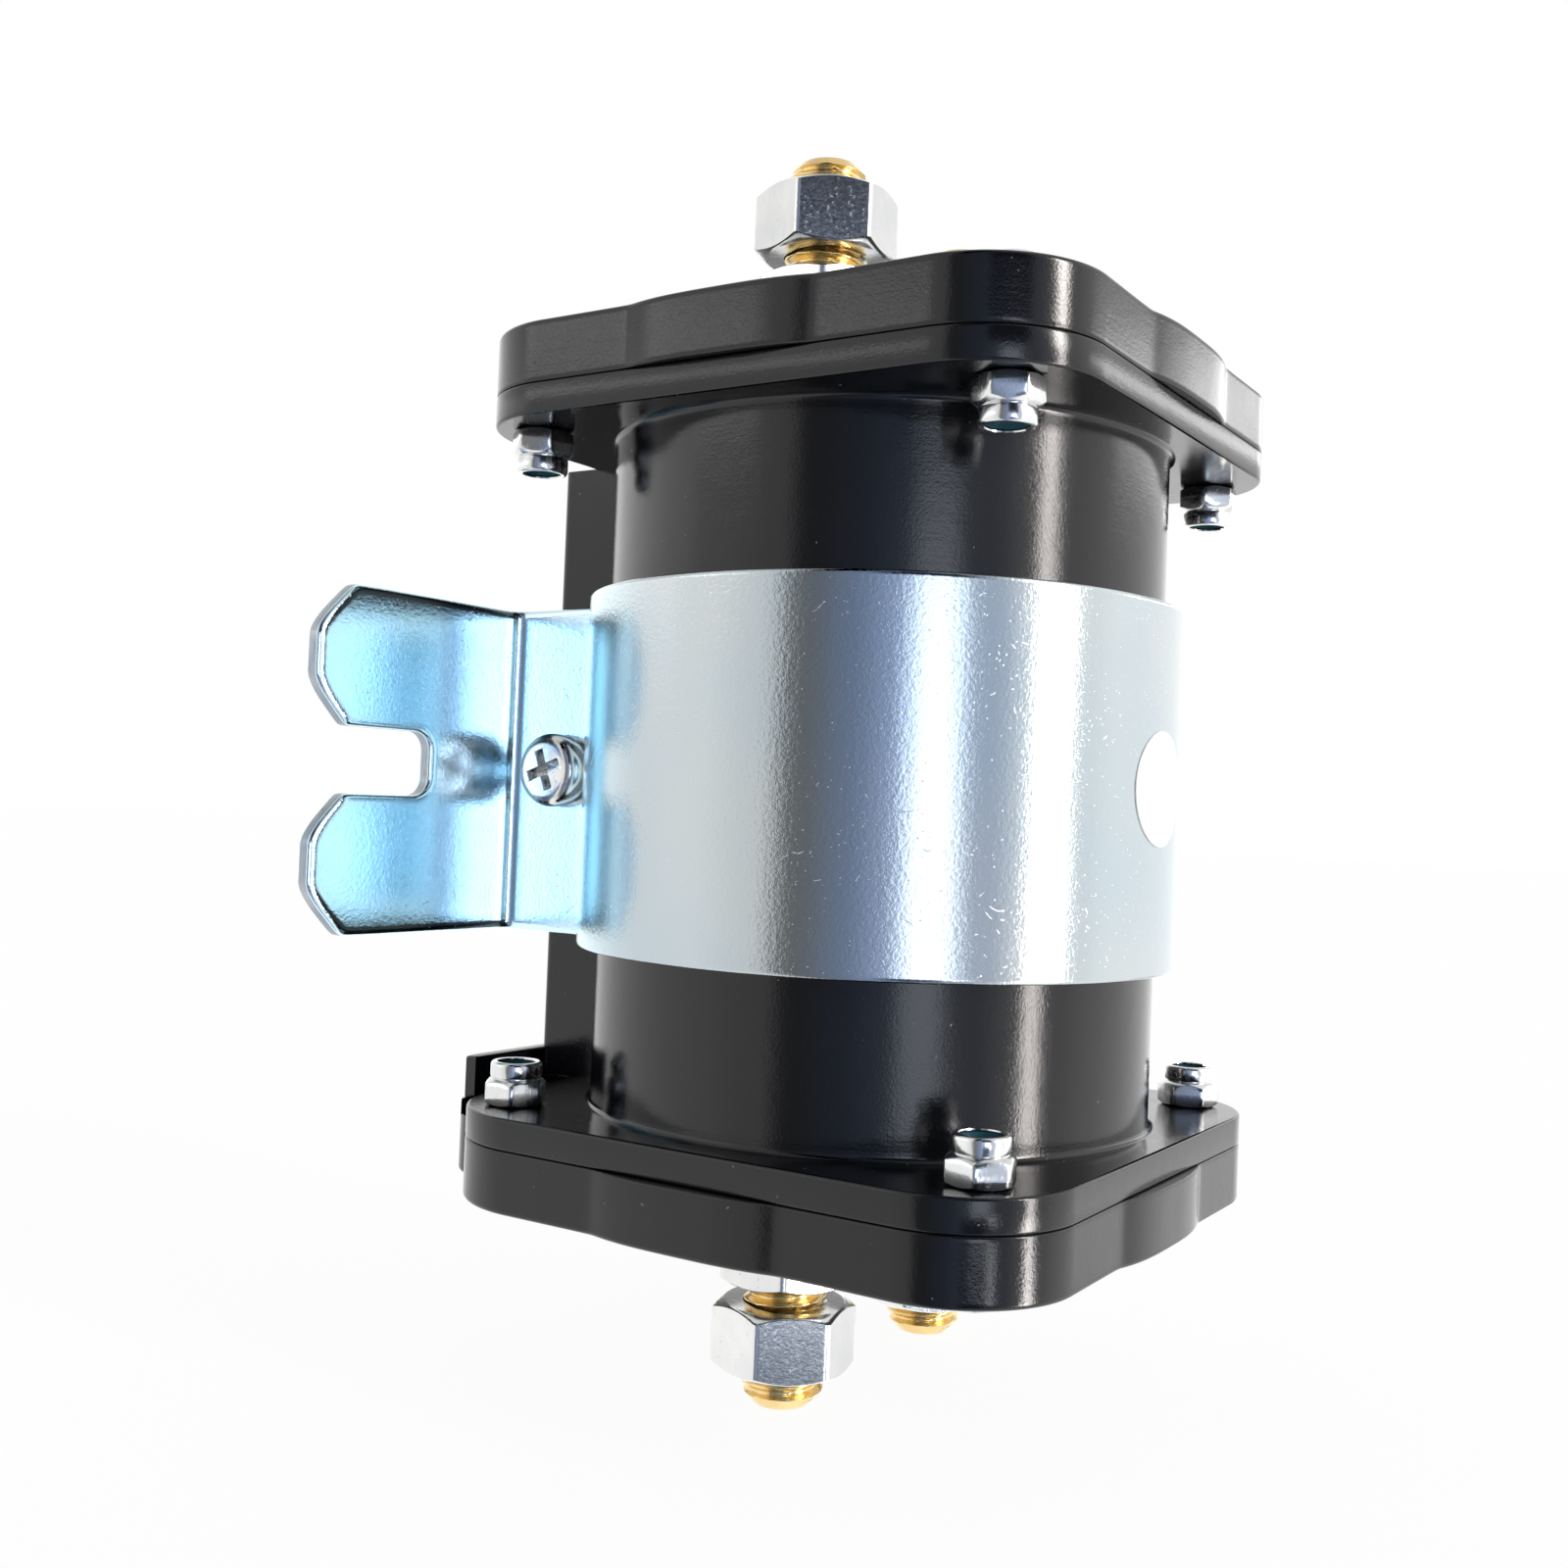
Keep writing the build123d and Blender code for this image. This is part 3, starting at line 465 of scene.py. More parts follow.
def housingRows(angles):
    # bore, lower flange, neck, barrel with the notch in its rib, neck, upper flange, bore
    rib = backTongue(angles, housing["ribHalf"], housing["ribReach"], housing["ribEdge"])
    notched = backTongue(angles, housing["ribHalf"], housing["notchReach"], housing["notchEdge"])
    body = softMax(housing["barrelRadius"], rib, housing["crease"])
    cut = softMax(housing["barrelRadius"], notched, housing["crease"])
    flange = roundedSquare(angles, housing["flangeHalf"], housing["flangeCorner"])
    foot = softMax(flange, rib, housing["crease"])
    past = np.minimum(angles, 2 * np.pi - angles) - np.radians(housing["filletFrom"])
    away = np.clip(past / np.radians(housing["filletOver"]), 0, 1)        # the rib has no fillet at its ends
    fillet, notch, bore = housing["neckFillet"], housing["notchHalf"], housing["boreRadius"]
    root = body + fillet * away
    seat = parting - housing["flangeThick"]
    edge, neck = edgeArc(housing["flangeEdge"]), edgeArc(fillet, housing["neckSteps"])
    notchGap, neckGap = housing["levelGaps"]
    levels = np.linspace(notch + notchGap, seat - fillet - neckGap, housing["levels"])
    rings = [(bore, -parting)]
    rings += [(foot - inset, -parting + drop) for inset, drop in edge[::-1]]
    rings += [(foot - inset, -seat - drop) for inset, drop in edge]
    rings += [(foot * (1 - w) + root * w, -seat) for w in housing["ringShares"]]
    rings += [(body + out * away, -seat + up) for up, out in neck]
    rings += [(body, -z) for z in levels[::-1]]
    rings += [(body, -notch), (cut, -notch), (cut, notch), (body, notch)]
    rings += [(body, z) for z in levels]
    rings += [(body + out * away, seat - up) for up, out in neck[::-1]]
    rings += [(flange * (1 - w) + root * w, seat) for w in housing["ringShares"][::-1]]
    rings += [(flange - inset, seat + drop) for inset, drop in edge[::-1]]
    rings += [(flange - inset, parting - drop) for inset, drop in edge]
    return ringRows(angles, rings + [(bore, parting)])


# even steps, with more of them across the edges of the rib
edges = np.radians(np.linspace(*housing["ribSpan"], housing["ribCount"]))
angles = np.unique(np.concatenate([fullTurn(housing["count"]), edges, 2 * np.pi - edges]))
rows = placed(housingRows(angles), (0, axisY, 0))
piece = addPiece("housingSkin", [skin(rows, True)], "housing", "housing_plastic")
print("housing:", len(piece.data.polygons), "faces")


# Covers: the same square with a round swell on each side; the lower one carries the shelf

covers = dict(
    bulge=coverHigh[0], bulgeSpread=9.8, crease=0.2, edge=0.5, edgeSteps=7, rim=0.25,
    skirtOuter=yokeHigh[0], skirtInner=22.8, skirtEnd=parting - 8.1, pocketRoof=parting + 3.2,
    pole=0.5, sideLevels=4, levelGaps=(0.5, 0.2), faceShares=(0.97, 0.8, 0.5, 0.2, 0.02), count=1080,
    shelfHalf=21.8, shelfCorner=5, shelfReach=lowerCoverHigh[1] - axisY,
    # walls that stand up from the shelf: half width, height above the parting, eased edge
    walls=[(20.5, 1.5, 0.25), (18.7, 5.6, 0.3)],
    wallInner=36.3, wallSunk=0.5, wallSteps=61, wallThin=0.05, wallLeast=0.1,
)


def coverRows(angles, hasShelf):
    # from the pocket's middle round the skirt and over the outside to the middle of the face;
    # each side swells to the bulge, less the cube of the distance along it over the spread
    outline = roundedSquare(angles, housing["flangeHalf"], housing["flangeCorner"])
    fold = (angles + np.pi / 4) % (np.pi / 2) - np.pi / 4
    beside = housing["flangeHalf"] * np.tan(np.abs(fold)) / covers["bulgeSpread"]
    outline = softMax(outline, (covers["bulge"] - beside ** 3) / np.cos(fold), covers["crease"])
    if hasShelf:
        shelf = backTongue(angles, covers["shelfHalf"], covers["shelfReach"], covers["shelfCorner"])
        outline = softMax(outline, shelf, covers["crease"])
    inner, outer, roof, skirtEnd = (covers[key] for key in ("skirtInner", "skirtOuter", "pocketRoof", "skirtEnd"))
    rimGap, edgeGap = covers["levelGaps"]
    side = np.linspace(parting + rimGap, coverFace - covers["edge"] - edgeGap, covers["sideLevels"])
    rings = [(covers["pole"], roof), (inner, roof), (inner, skirtEnd), (outer, skirtEnd), (outer, parting)]
    rings += [(outline - inset, parting + drop) for inset, drop in edgeArc(covers["rim"])[::-1]]
    rings += [(outline, z) for z in side]
    rings += [(outline - inset, coverFace - drop) for inset, drop in edgeArc(covers["edge"], covers["edgeSteps"])]
    rings += [(outline * w, coverFace) for w in covers["faceShares"]]
    return ringRows(angles, rings)


def wallShell(half, height, edge):
    # outer side on the arcs of the shelf's corners, inner side straight, both drawn in towards the top
    corner = covers["shelfCorner"]
    x = np.linspace(-half, half, covers["wallSteps"])
    past = np.maximum(np.abs(x) - (covers["shelfHalf"] - corner), 0)
    outer = covers["shelfReach"] - corner + np.sqrt(corner ** 2 - past ** 2)
    middle = (outer + covers["wallInner"]) / 2
    middle = np.concatenate([middle, middle[::-1]])
    side = np.concatenate([outer, np.full(len(x), covers["wallInner"])]) - middle
    rings = [(-covers["wallSunk"], 0.0)] + [(height - drop, inset) for inset, drop in edgeArc(edge)]
    levels, insets = np.array(rings).T[..., None]
    x = np.concatenate([x, x[::-1]]) * (1 - insets / half)
    shrink = np.maximum(1 - insets / np.abs(side).clip(covers["wallThin"]), covers["wallLeast"])
    return skin(np.stack([x, axisY + middle + side * shrink, levels - parting + 0 * x], -1), False)


walls = [wallShell(*wall) for wall in covers["walls"]]
for name, end, extra in (("upperCover", "top", []), ("lowerCover", "bottom", walls)):
    rows = coverRows(fullTurn(covers["count"]), end == "bottom")
    shells = [skin(endRows(rows, end, 0, axisY, 0), False)] + extra
    piece = addPiece(name, shells, end + "_cover", "cover_plastic")
    print(name + ":", len(piece.data.polygons), "faces")


# Fasteners: each is rings about its own axis, and the small numbers ease its edges

threadForm = dict(crest=1 / 8, root=1 / 4)    # flat shares of the pitch
studForm = dict(sharpAngle=50, rings=12, pointSlope=0.9, tipRings=[(0.95, 0.02), (1.15, 0)])
studLook = dict(studForm, radius=3.9, pitch=1.25, depth=0.62, point=1.3, start=parting + 3)
coilStud = dict(studForm, radius=2, pitch=0.7, depth=0.34, point=0.35)
padLook = dict(half=6, low=parting + 0.2, high=parting + 3.2, edge=0.3, steps=5)
hexForm = dict(soft=0.05, slope=0.58)    # corner's rounding, rise of the chamfer for its run
nutForm = dict(faceShare=0.97, cornerCut=0.08, leastRun=0.02, ease=0.05, faceRing=0.25, dish=0.01,
               shoulder=(0.06, 0.02), flatShares=(0.35, 0.65))
terminalNut = dict(nutForm, flats=12, thick=6.2, bore=3.45, sink=0.55)
jamNut = dict(nutForm, flats=12, thick=4, bore=3.45, sink=0.5)
smallNut = dict(nutForm, flats=7, thick=3.2, bore=1.75, sink=0.3)    # clamp screw and coil studs
lockNut = dict(
    flats=5.5, hexThick=2.5, thick=4.2, collar=2.5, lip=1.85, bore=1.5, sink=0.25,
    faceShare=0.93, cornerCut=0.05, leastRun=0.01, ease=0.05, shoulders=(0.03, 0.04), topRise=1.2,
    neck=[(0.10, 0), (-0.12, 0.12), (0, 0.34)],    # outside the collar, above the hexagon
    roll=(0.30, 0.42), rollSpan=(0.3, 1.57), rollSteps=5,
    lipRings=[(0.05, 0.03), (0, 0.15), (0.25, 0.32)],    # outside the lip, below the top
    pocket=0.3,
)
washerLook = dict(inner=4.2, outer=8, thick=1.6, edge=0.2, shoulder=(0.05, 0.06))
screwForm = dict(
    edgeShare=0.45, edgeFrom=0.2, edgeSteps=7, middle=0.05, slotMargin=0.1, slotDeep=1.15,
    slotFall=0.5, seatEase=(0.1, 0.15), threadGap=0.1, threadRings=8, threadDepth=0.5,
    pointLength=0.4, pointIn=0.35, endIn=0.5,
)
coverScrew = dict(
    screwForm, head=2.8, thick=2, crown=0.12, shank=1.5, sunk=1, threaded=3, pitch=0.5,
    slotWidth=0.8, slotSpan=3, slotDepth=1.1, wallRun=0.18, rings=22,
)
coverScrew["length"] = coverFace - coverScrew["sunk"] - boxOf("top_cover_screws")[0][2]
clampScrew = dict(
    screwForm, head=3.9, thick=2.8, crown=0.15, shank=2, length=26.7, threaded=6.5,
    pitch=0.7, slotWidth=1.1, slotSpan=4.4, slotDepth=1.6, wallRun=0.22, rings=44, turn=20,
)
fitted = dict(
    studX=boxOf("top_right_contact_stud")[1][0] - padLook["half"], screwAt=25, nutGap=2,
    jamTurn=30, nutTurn=dict(top=7.6, bottom=10), screwTurns=(0, 17, 34, 51),
    lockTurns=dict(top=(-4, -7, 11, 40), bottom=(16, -27, -11, 25)),
)
nutAngles = fullTurn(192)
smallAngles = fullTurn(96)


def threadRadius(angles, height, major, pitch, depth):
    # flat crests and roots with straight flanks; the phase climbs one pitch a turn
    phase = (height / pitch - angles / (2 * np.pi)) % 1.0
    flank = (np.abs(phase - 0.5) * 2 - threadForm["crest"]) / (1 - threadForm["crest"] - threadForm["root"])
    return major - depth * np.clip(flank, 0, 1)


def hexEnd(look, angles):
    # the face's radius, the polar radius of a hexagon with soft corners and the chamfer's rise between them
    face = look["flats"] / 2 * look["faceShare"]
    fold = (angles + np.pi / 6) % (np.pi / 3) - np.pi / 6
    corner = look["flats"] / np.sqrt(3) - look["cornerCut"]
    across = softMin(look["flats"] / 2 / np.cos(fold), corner, hexForm["soft"])
    return face, across, np.maximum(across - face, look["leastRun"]) * hexForm["slope"]


def nutRows(look, angles):
    # bore, countersink, face, 30 degree chamfer, flats and back: a closed ring of rings
    face, across, rise = hexEnd(look, angles)
    bore, sink, thick, ease, dish = (look[key] for key in ("bore", "sink", "thick", "ease", "dish"))
    shoulderIn, shoulderDrop = look["shoulder"]
    lower = [(bore, sink), (bore + sink, 0.0), (face - look["faceRing"], 0.0), (face - ease, dish)]
    lower += [((face + across) / 2, rise / 2 + dish), (across - shoulderIn, rise - shoulderDrop)]
    lower += [(across, rise + ease)]
    rings = lower + [(across, thick * share) for share in look["flatShares"]]
    rings += [(radius, thick - height) for radius, height in lower[::-1]]
    return ringRows(angles, rings)


def lockNutRows(look, angles):
    # hexagon with a round collar rolled in over a nylon ring
    face, across, rise = hexEnd(look, angles)
    hexTop, top, collar, lip = look["hexThick"], look["thick"], look["collar"], look["lip"]
    bore, sink, ease, pocket = look["bore"], look["sink"], look["ease"], hexTop + look["pocket"]
    rollIn, rollDown = look["roll"]
    lowerIn, upperIn = look["shoulders"]
    upper = hexTop - rise * look["topRise"]
    rings = [(bore, sink), (bore + sink, 0.0), (face - ease, 0.0), (across - lowerIn, rise), (across, rise + ease)]
    rings += [(across, hexTop / 2), (across, upper - ease), (across - upperIn, upper)]
    rings += [(collar + out, hexTop + up) for out, up in look["neck"]] + [(collar, top - rollDown)]
    rings += [(collar - rollIn + rollIn * np.cos(a), top - rollDown + rollDown * np.sin(a))
                 for a in np.linspace(*look["rollSpan"], look["rollSteps"])]
    rings += [(lip + out, top - down) for out, down in look["lipRings"]]
    rings += [(lip + look["lipRings"][-1][0], pocket), (bore, pocket)]
    return ringRows(angles, rings)


def studRows(look, tip, angles):
    # threaded rod from its root up to its tip, kept inside a cone over the length of the point
    radius, point, limit = look["radius"], look["point"], tip - look["point"]
    rings = []
    for z in np.arange(look["start"], tip, look["pitch"] / look["rings"]):
        cone = radius - max(z - limit, 0) * look["pointSlope"]
        rings.append((np.minimum(threadRadius(angles, z, radius, look["pitch"], look["depth"]), cone), z))
    rings += [(radius - point * share, tip - drop) for share, drop in look["tipRings"]]
    return ringRows(angles, rings)


def padRows(look):
    # a square block: four quarter circles round its upright edges, drawn in at the bottom and the top
    half, low, high, edge, steps = (look[key] for key in ("half", "low", "high", "edge", "steps"))
    corner = np.linspace(0, np.pi / 2, steps)
    around = np.concatenate([corner + k * np.pi / 2 for k in range(4)])
    x = np.repeat([1, -1, -1, 1], steps) * (half - edge) + edge * np.cos(around)
    y = np.repeat([1, 1, -1, -1], steps) * (half - edge) + edge * np.sin(around)
    levels = np.array([low, low + edge, high - edge, high])[:, None]
    shrink = 1 - np.array([edge, 0, 0, edge])[:, None] / half
    return np.stack([x * shrink, y * shrink, levels + 0 * x], -1)


def crossDepth(x, y, look):
    # depth of a cross recess: sloping walls on the larger of two crossed bars, deeper to the middle
    arm = np.minimum(look["slotWidth"] / 2 - np.abs(y), look["slotSpan"] / 2 - np.abs(x))
    other = np.minimum(look["slotWidth"] / 2 - np.abs(x), look["slotSpan"] / 2 - np.abs(y))
    wall = np.clip(np.maximum(arm, other) / look["wallRun"], 0, 1)
    reach = np.sqrt(x ** 2 + y ** 2) / (look["slotSpan"] / 2)
    return wall * look["slotDepth"] * np.clip(look["slotDeep"] - look["slotFall"] * reach, 0, 1)


def screwRows(look, angles):
    # pan head with a cross recess, plain shank and a thread at its end; the head seats at height 0
    head, thick, crown, shank, length = (look[key] for key in ("head", "thick", "crown", "shank", "length"))
    edge = thick * look["edgeShare"]
    flat = head - edge
    easeIn, easeUp = look["seatEase"]
    rings = []
    for reach in [*np.linspace(look["middle"], look["slotSpan"] / 2 + look["slotMargin"], look["rings"]), flat]:
        depth = crossDepth(reach * np.sin(angles), reach * np.cos(angles), look)
        rings.append((reach, thick - crown * (reach / head) ** 2 - depth))
    side = thick - crown * (flat / head) ** 2
    rings += [(flat + edge * np.sin(a), side - edge * (1 - np.cos(a)))
                 for a in np.linspace(look["edgeFrom"], np.pi / 2, look["edgeSteps"])]
    threadStart = look["threaded"] - length
    rings += [(head, easeUp), (head - easeIn, 0.0), (shank, 0.0), (shank, threadStart + look["threadGap"])]
    for z in np.arange(threadStart, -length, -look["pitch"] / look["threadRings"]):
        near = np.clip((z + length) / look["pointLength"], 0, 1)
        radius = threadRadius(angles, z, shank, look["pitch"], look["pitch"] * look["threadDepth"])
        rings.append((np.minimum(radius, shank - look["pointIn"] * (1 - near)), z))
    return ringRows(angles, rings + [(shank - look["endIn"], -length)])


def washerRows(look, angles):
    # bore, face, outer side and back with eased edges: a closed ring of rings
    inner, outer, thick, edge = (look[key] for key in ("inner", "outer", "thick", "edge"))
    easeIn, easeUp = look["shoulder"]
    lower = [(inner, edge), (inner + edge, 0), (outer - edge, 0), (outer - easeIn, easeUp), (outer, edge)]
    return ringRows(angles, lower + [(radius, thick - height) for radius, height in lower[::-1]])


studPlaces = [(-fitted["studX"], axisY), (fitted["studX"], axisY)]
screwPlaces = [(x, axisY + y) for x in (-fitted["screwAt"], fitted["screwAt"])
               for y in (-fitted["screwAt"], fitted["screwAt"])]
washerTop = coverFace + washerLook["thick"]
nutSeat = washerTop + jamNut["thick"] + fitted["nutGap"]
lockRows = lockNutRows(lockNut, smallAngles) * [1, 1, -1]    # the lock nuts hang under the flange
for end in ("top", "bottom"):
    low, high = boxOf(end + "_left_contact_stud")
    stud = studRows(studLook, high[2] if end == "top" else -low[2], smallAngles)
    for side, place in zip(("left", "right"), studPlaces):
        shells = standing(stud, False, end, [place], 0) + standing(padRows(padLook), False, end, [place], 0)
        addPiece(end + "-" + side + "-stud", shells, end + "_" + side + "_contact_stud", "stud_brass",
                 studLook["sharpAngle"])
    for name, rows, loop, places, height, turns in (
            ("stud-washers", washerRows(washerLook, nutAngles), True, studPlaces, coverFace, [0, 0]),
            ("jam-nuts", nutRows(jamNut, nutAngles), True, studPlaces, washerTop, [fitted["jamTurn"]] * 2),
            ("terminal-nuts", nutRows(terminalNut, nutAngles), True, studPlaces, nutSeat,
             [fitted["nutTurn"][end]] * 2),
            ("cover-screws", screwRows(coverScrew, smallAngles), False, screwPlaces,
             coverFace - coverScrew["sunk"], fitted["screwTurns"]),
            ("lock-nuts", lockRows, True, screwPlaces, parting - housing["flangeThick"], fitted["lockTurns"][end])):
        shells = standing(rows, loop, end, places, height, turns)
        addPiece(end + "-" + name, shells, end + "_" + name.replace("-", "_"), "zinc_fastener")

clampLow, clampHigh = boxOf("clamp_nut")
clampY = (clampLow[1] + clampHigh[1]) / 2
rows = screwRows(clampScrew, nutAngles)
rows = placed(rows, (-clampLow[0], clampY, 0), (-1, 0, 0), (0, 1, 0), clampScrew["turn"])
addPiece("clamp-screw", [skin(rows, False)], "clamp_screw", "zinc_fastener")
rows = placed(nutRows(smallNut, smallAngles), (clampLow[0], clampY, 0), (1, 0, 0), (0, 1, 0))
addPiece("clamp-nut", [skin(rows, True)], "clamp_nut", "zinc_fastener")

coilLow, coilHigh = boxOf("coil_terminals")
coilX, coilY = coilHigh[:2] - coilStud["radius"]
coilPlaces = [(-coilX, coilY), (coilX, coilY)]
rows = studRows({**coilStud, "start": -coilHigh[2]}, -coilLow[2], smallAngles)
shells = standing(rows, False, "bottom", coilPlaces, 0)
addPiece("coil-studs", shells, "coil_terminals", "stud_brass", coilStud["sharpAngle"])
rows = nutRows(smallNut, smallAngles)
addPiece("coil-nuts", standing(rows, True, "bottom", coilPlaces, coverFace), "coil_terminal_nuts", "zinc_fastener")
print("fasteners made")


# Strap bracket: a flat blank, wrapped along the path of its middle line

strap = dict(
    inner=28.3, thick=1.7, stripInner=9.3, bandBend=2.4, earBend=1.2, half=bracketHigh[2],
    earReach=bracketHigh[0] - 0.4, slotHalf=3.3, slotRoot=23.5, slotCorner=2,
    outerCut=4.4, outerSoft=0.5, innerCut=4, innerSoft=0.3, endRound=1.8,
    roll=0.9, rollDrop=0.5, rollSteps=8, bandRoll=0.5, backEdge=0.2, backSteps=4, flatRing=0.12,
    # columns in each stage of the path, then along the slot: the stage's end before the ear's, and its columns
    counts=(170, 14, 8, 18, 12), slotStages=[(5.2, 6), (3, 11), (1.8, 4), (0, 11)], cornerSteps=9,
    stripRows=9, coreRows=3, tangentStep=0.0001,
)
# the middle line's radii on one side, its turning points and the places where its stages end
middle, bend, earBend, stripX = (
    strap[key] + strap["thick"] / 2 for key in ("inner", "bandBend", "earBend", "stripInner"))
bendX = stripX + bend
bendY = np.sqrt((middle + bend) ** 2 - bendX ** 2)
bandTurn = np.arctan2(bendY, bendX)
earX, earY = stripX + earBend, -axisY - strap["thick"] / 2
ends = np.cumsum([middle * (bandTurn + np.pi / 2), bend * bandTurn, earY - earBend - bendY, earBend * np.pi / 2])
earStart = ends[3] - earX    # reach along an ear = place - start


def strapPath(s):
    # arc round the barrel, outward bend, straight strip, bend, straight ear; mirrored for negative s
    along = np.abs(s)
    a = along / middle - np.pi / 2
    b = np.pi + bandTurn - (along - ends[0]) / bend
    d = np.pi - (along - ends[2]) / earBend
    stages = [along < end for end in ends]
    x = np.select(stages, [middle * np.cos(a), bendX + bend * np.cos(b), stripX + 0 * along,
                           earX + earBend * np.cos(d)], along - earStart)
    y = np.select(stages, [middle * np.sin(a), bendY + bend * np.sin(b), bendY + along - ends[1],
                           earY - earBend + earBend * np.sin(d)], earY + 0 * along)
    return np.where(s < 0, -x, x), y


def rollShare(s):
    # how much of the rolled-over edge is there: all of it on the ears, less of it on the band
    t = np.clip((np.abs(s) - ends[1]) / (ends[3] - ends[1]), 0, 1)
    return strap["bandRoll"] + (1 - strap["bandRoll"]) * t * t * (3 - 2 * t)


def earOutline(x, inset):
    # outer edge and slot edge of an ear, by its reach from the middle; slanted cuts move by root two
    end, bow = strap["earReach"], strap["endRound"]
    slant = inset * np.sqrt(2)
    cut = strap["half"] + end - strap["outerCut"] - x - slant
    flare = strap["slotHalf"] + x - (end - strap["innerCut"]) + slant
    past = np.clip(x - end + inset + bow, 0, bow)
    rounding = (bow - np.sqrt(bow ** 2 - past ** 2)) / 2
    outer = softMin(strap["half"] - inset, cut, strap["outerSoft"]) - rounding
    return outer, softMax(strap["slotHalf"] + inset, flare, strap["innerSoft"]) + rounding


def strapColumns(inset):
    # places along the blank, fine in the bends and at the slot's corners, for an outline drawn in by the inset
    root, corner = strap["slotRoot"] - inset, strap["slotCorner"] + inset
    end = strap["earReach"] - inset
    arc = np.linspace(0, np.pi / 2, strap["cornerSteps"])[1:]
    stops = [0, *ends, root + earStart]
    joined = np.concatenate([np.linspace(low, high, count)[:-1] for low, high, count
                             in zip(stops, stops[1:], strap["counts"])] + [stops[-1:]])
    slotStops = [root + corner] + [end - before for before, count in strap["slotStages"]]
    slotX = np.concatenate([np.linspace(low, high, count)[1:] for low, high, (before, count)
                            in zip(slotStops, slotStops[1:], strap["slotStages"])])
    slotStart = strap["slotHalf"] - strap["slotCorner"]
    inner = np.concatenate([np.full(len(joined), slotStart), slotStart + corner * np.sin(arc),
                            earOutline(slotX, inset)[1]])
    columns = np.concatenate([joined, root + corner - corner * np.cos(arc) + earStart, slotX + earStart])
    outer = earOutline(columns - earStart, inset * rollShare(columns))[0]
    return joined, columns, inner, outer


def blankGrid(inset):
    # places along and across the blank: a strip each side of the slots and the part between them
    joined, columns, inner, outer = strapColumns(inset)
    whole = np.concatenate([-columns[:0:-1], columns])
    between = np.concatenate([-joined[:0:-1], joined])
    inner = np.concatenate([inner[:0:-1], inner])
    outer = np.concatenate([outer[:0:-1], outer])
    core = np.full(len(between), inner.min())
    along, across = [], []
    for s, low, high, count in ((whole, inner, outer, strap["stripRows"]), (between, -core, core, strap["coreRows"]),
                                (whole, -outer, -inner, strap["stripRows"])):
        share = np.linspace(0, 1, count)[:, None]
        across.append(low + (high - low) * share)
        along.append(np.broadcast_to(s, across[-1].shape))
    return along, across


def joinedGrid(parts):    # the parts' values one after another
    return np.concatenate([part.ravel() for part in parts])


def wrapped(s, z, lift):
    # a point of the blank stands on the path and is lifted along its outward normal
    x, y = strapPath(s)
    before = np.stack(strapPath(s - strap["tangentStep"]), -1)
    after = np.stack(strapPath(s + strap["tangentStep"]), -1)
    tangent = (after - before) / np.linalg.norm(after - before, axis=-1, keepdims=True)
    return np.stack([x + lift * tangent[:, 1], y - lift * tangent[:, 0] + axisY, z], -1)


def bracketShell():
    # the front of the sheet, its rolled edge, the sheared edge and the back, layer by layer
    along, across = blankGrid(0)
    quads, offset = [], 0
    for part in along:
        m, n = part.shape
        quads.append(gridQuads(m, n, np.arange(m - 1), np.arange(n - 1)) + offset)
        offset += m * n
    flat = np.round(np.stack([joinedGrid(along), joinedGrid(across)], -1), 4)    # points that meet are merged
    kept, first, index = np.unique(flat, axis=0, return_index=True, return_inverse=True)
    front = index.ravel()[np.vstack(quads)]
    count = len(first)
    edges = np.vstack([front[:, [k, (k + 1) % 4]] for k in range(4)])
    forth, back = edges[:, 0] * count + edges[:, 1], edges[:, 1] * count + edges[:, 0]
    border = edges[~np.isin(forth, back)]
    half, roll, small, ring = strap["thick"] / 2, strap["roll"], strap["backEdge"], strap["flatRing"]
    rolled = edgeArc(1, strap["rollSteps"])[::-1]
    layers = [(roll + ring, 0, True)] + [(inset * roll, drop * strap["rollDrop"], True) for inset, drop in rolled]
    layers += [(inset, drop, False) for inset, drop in edgeArc(small, strap["backSteps"])]
    layers += [(small + ring, 0, False)]
    points = []
    for inset, drop, isFront in layers:
        s, z = (joinedGrid(grid)[first] for grid in blankGrid(inset))
        points.append(wrapped(s, z, half - drop * rollShare(s) if isFront else drop - half))
    faces = [front]
    for k in range(len(layers) - 1):
        a, b = border[:, 0] + k * count, border[:, 1] + k * count
        faces.append(np.stack([b, a, a + count, b + count], -1))
    faces.append(front[:, ::-1] + (len(layers) - 1) * count)
    # the sheared edge is the ring of faces after the rolled ones
    sheared = np.concatenate([np.full(len(f), k == strap["rollSteps"] + 1, np.int32) for k, f in enumerate(faces)])
    used, slots = np.unique(np.vstack(faces), return_inverse=True)
    return (np.vstack(points)[used], slots.reshape(-1, 4), np.zeros((0, 3), int)), sheared


shell, sheared = bracketShell()
piece = addPiece("strap-bracket", [shell], "mounting_bracket", "zinc_plate")
piece.data.materials.append(finish["shearedZinc"])
piece.data.polygons.foreach_set("material_index", sheared)
print("bracket:", len(piece.data.polygons), "faces")


# Label: a bare white disc laid round the band

label = dict(
    radius=boxOf("front_label")[1][0], thick=0.12, edge=0.05, edgeShare=0.6, middle=0.3,
    rings=16, count=128, sharpAngle=60,
)


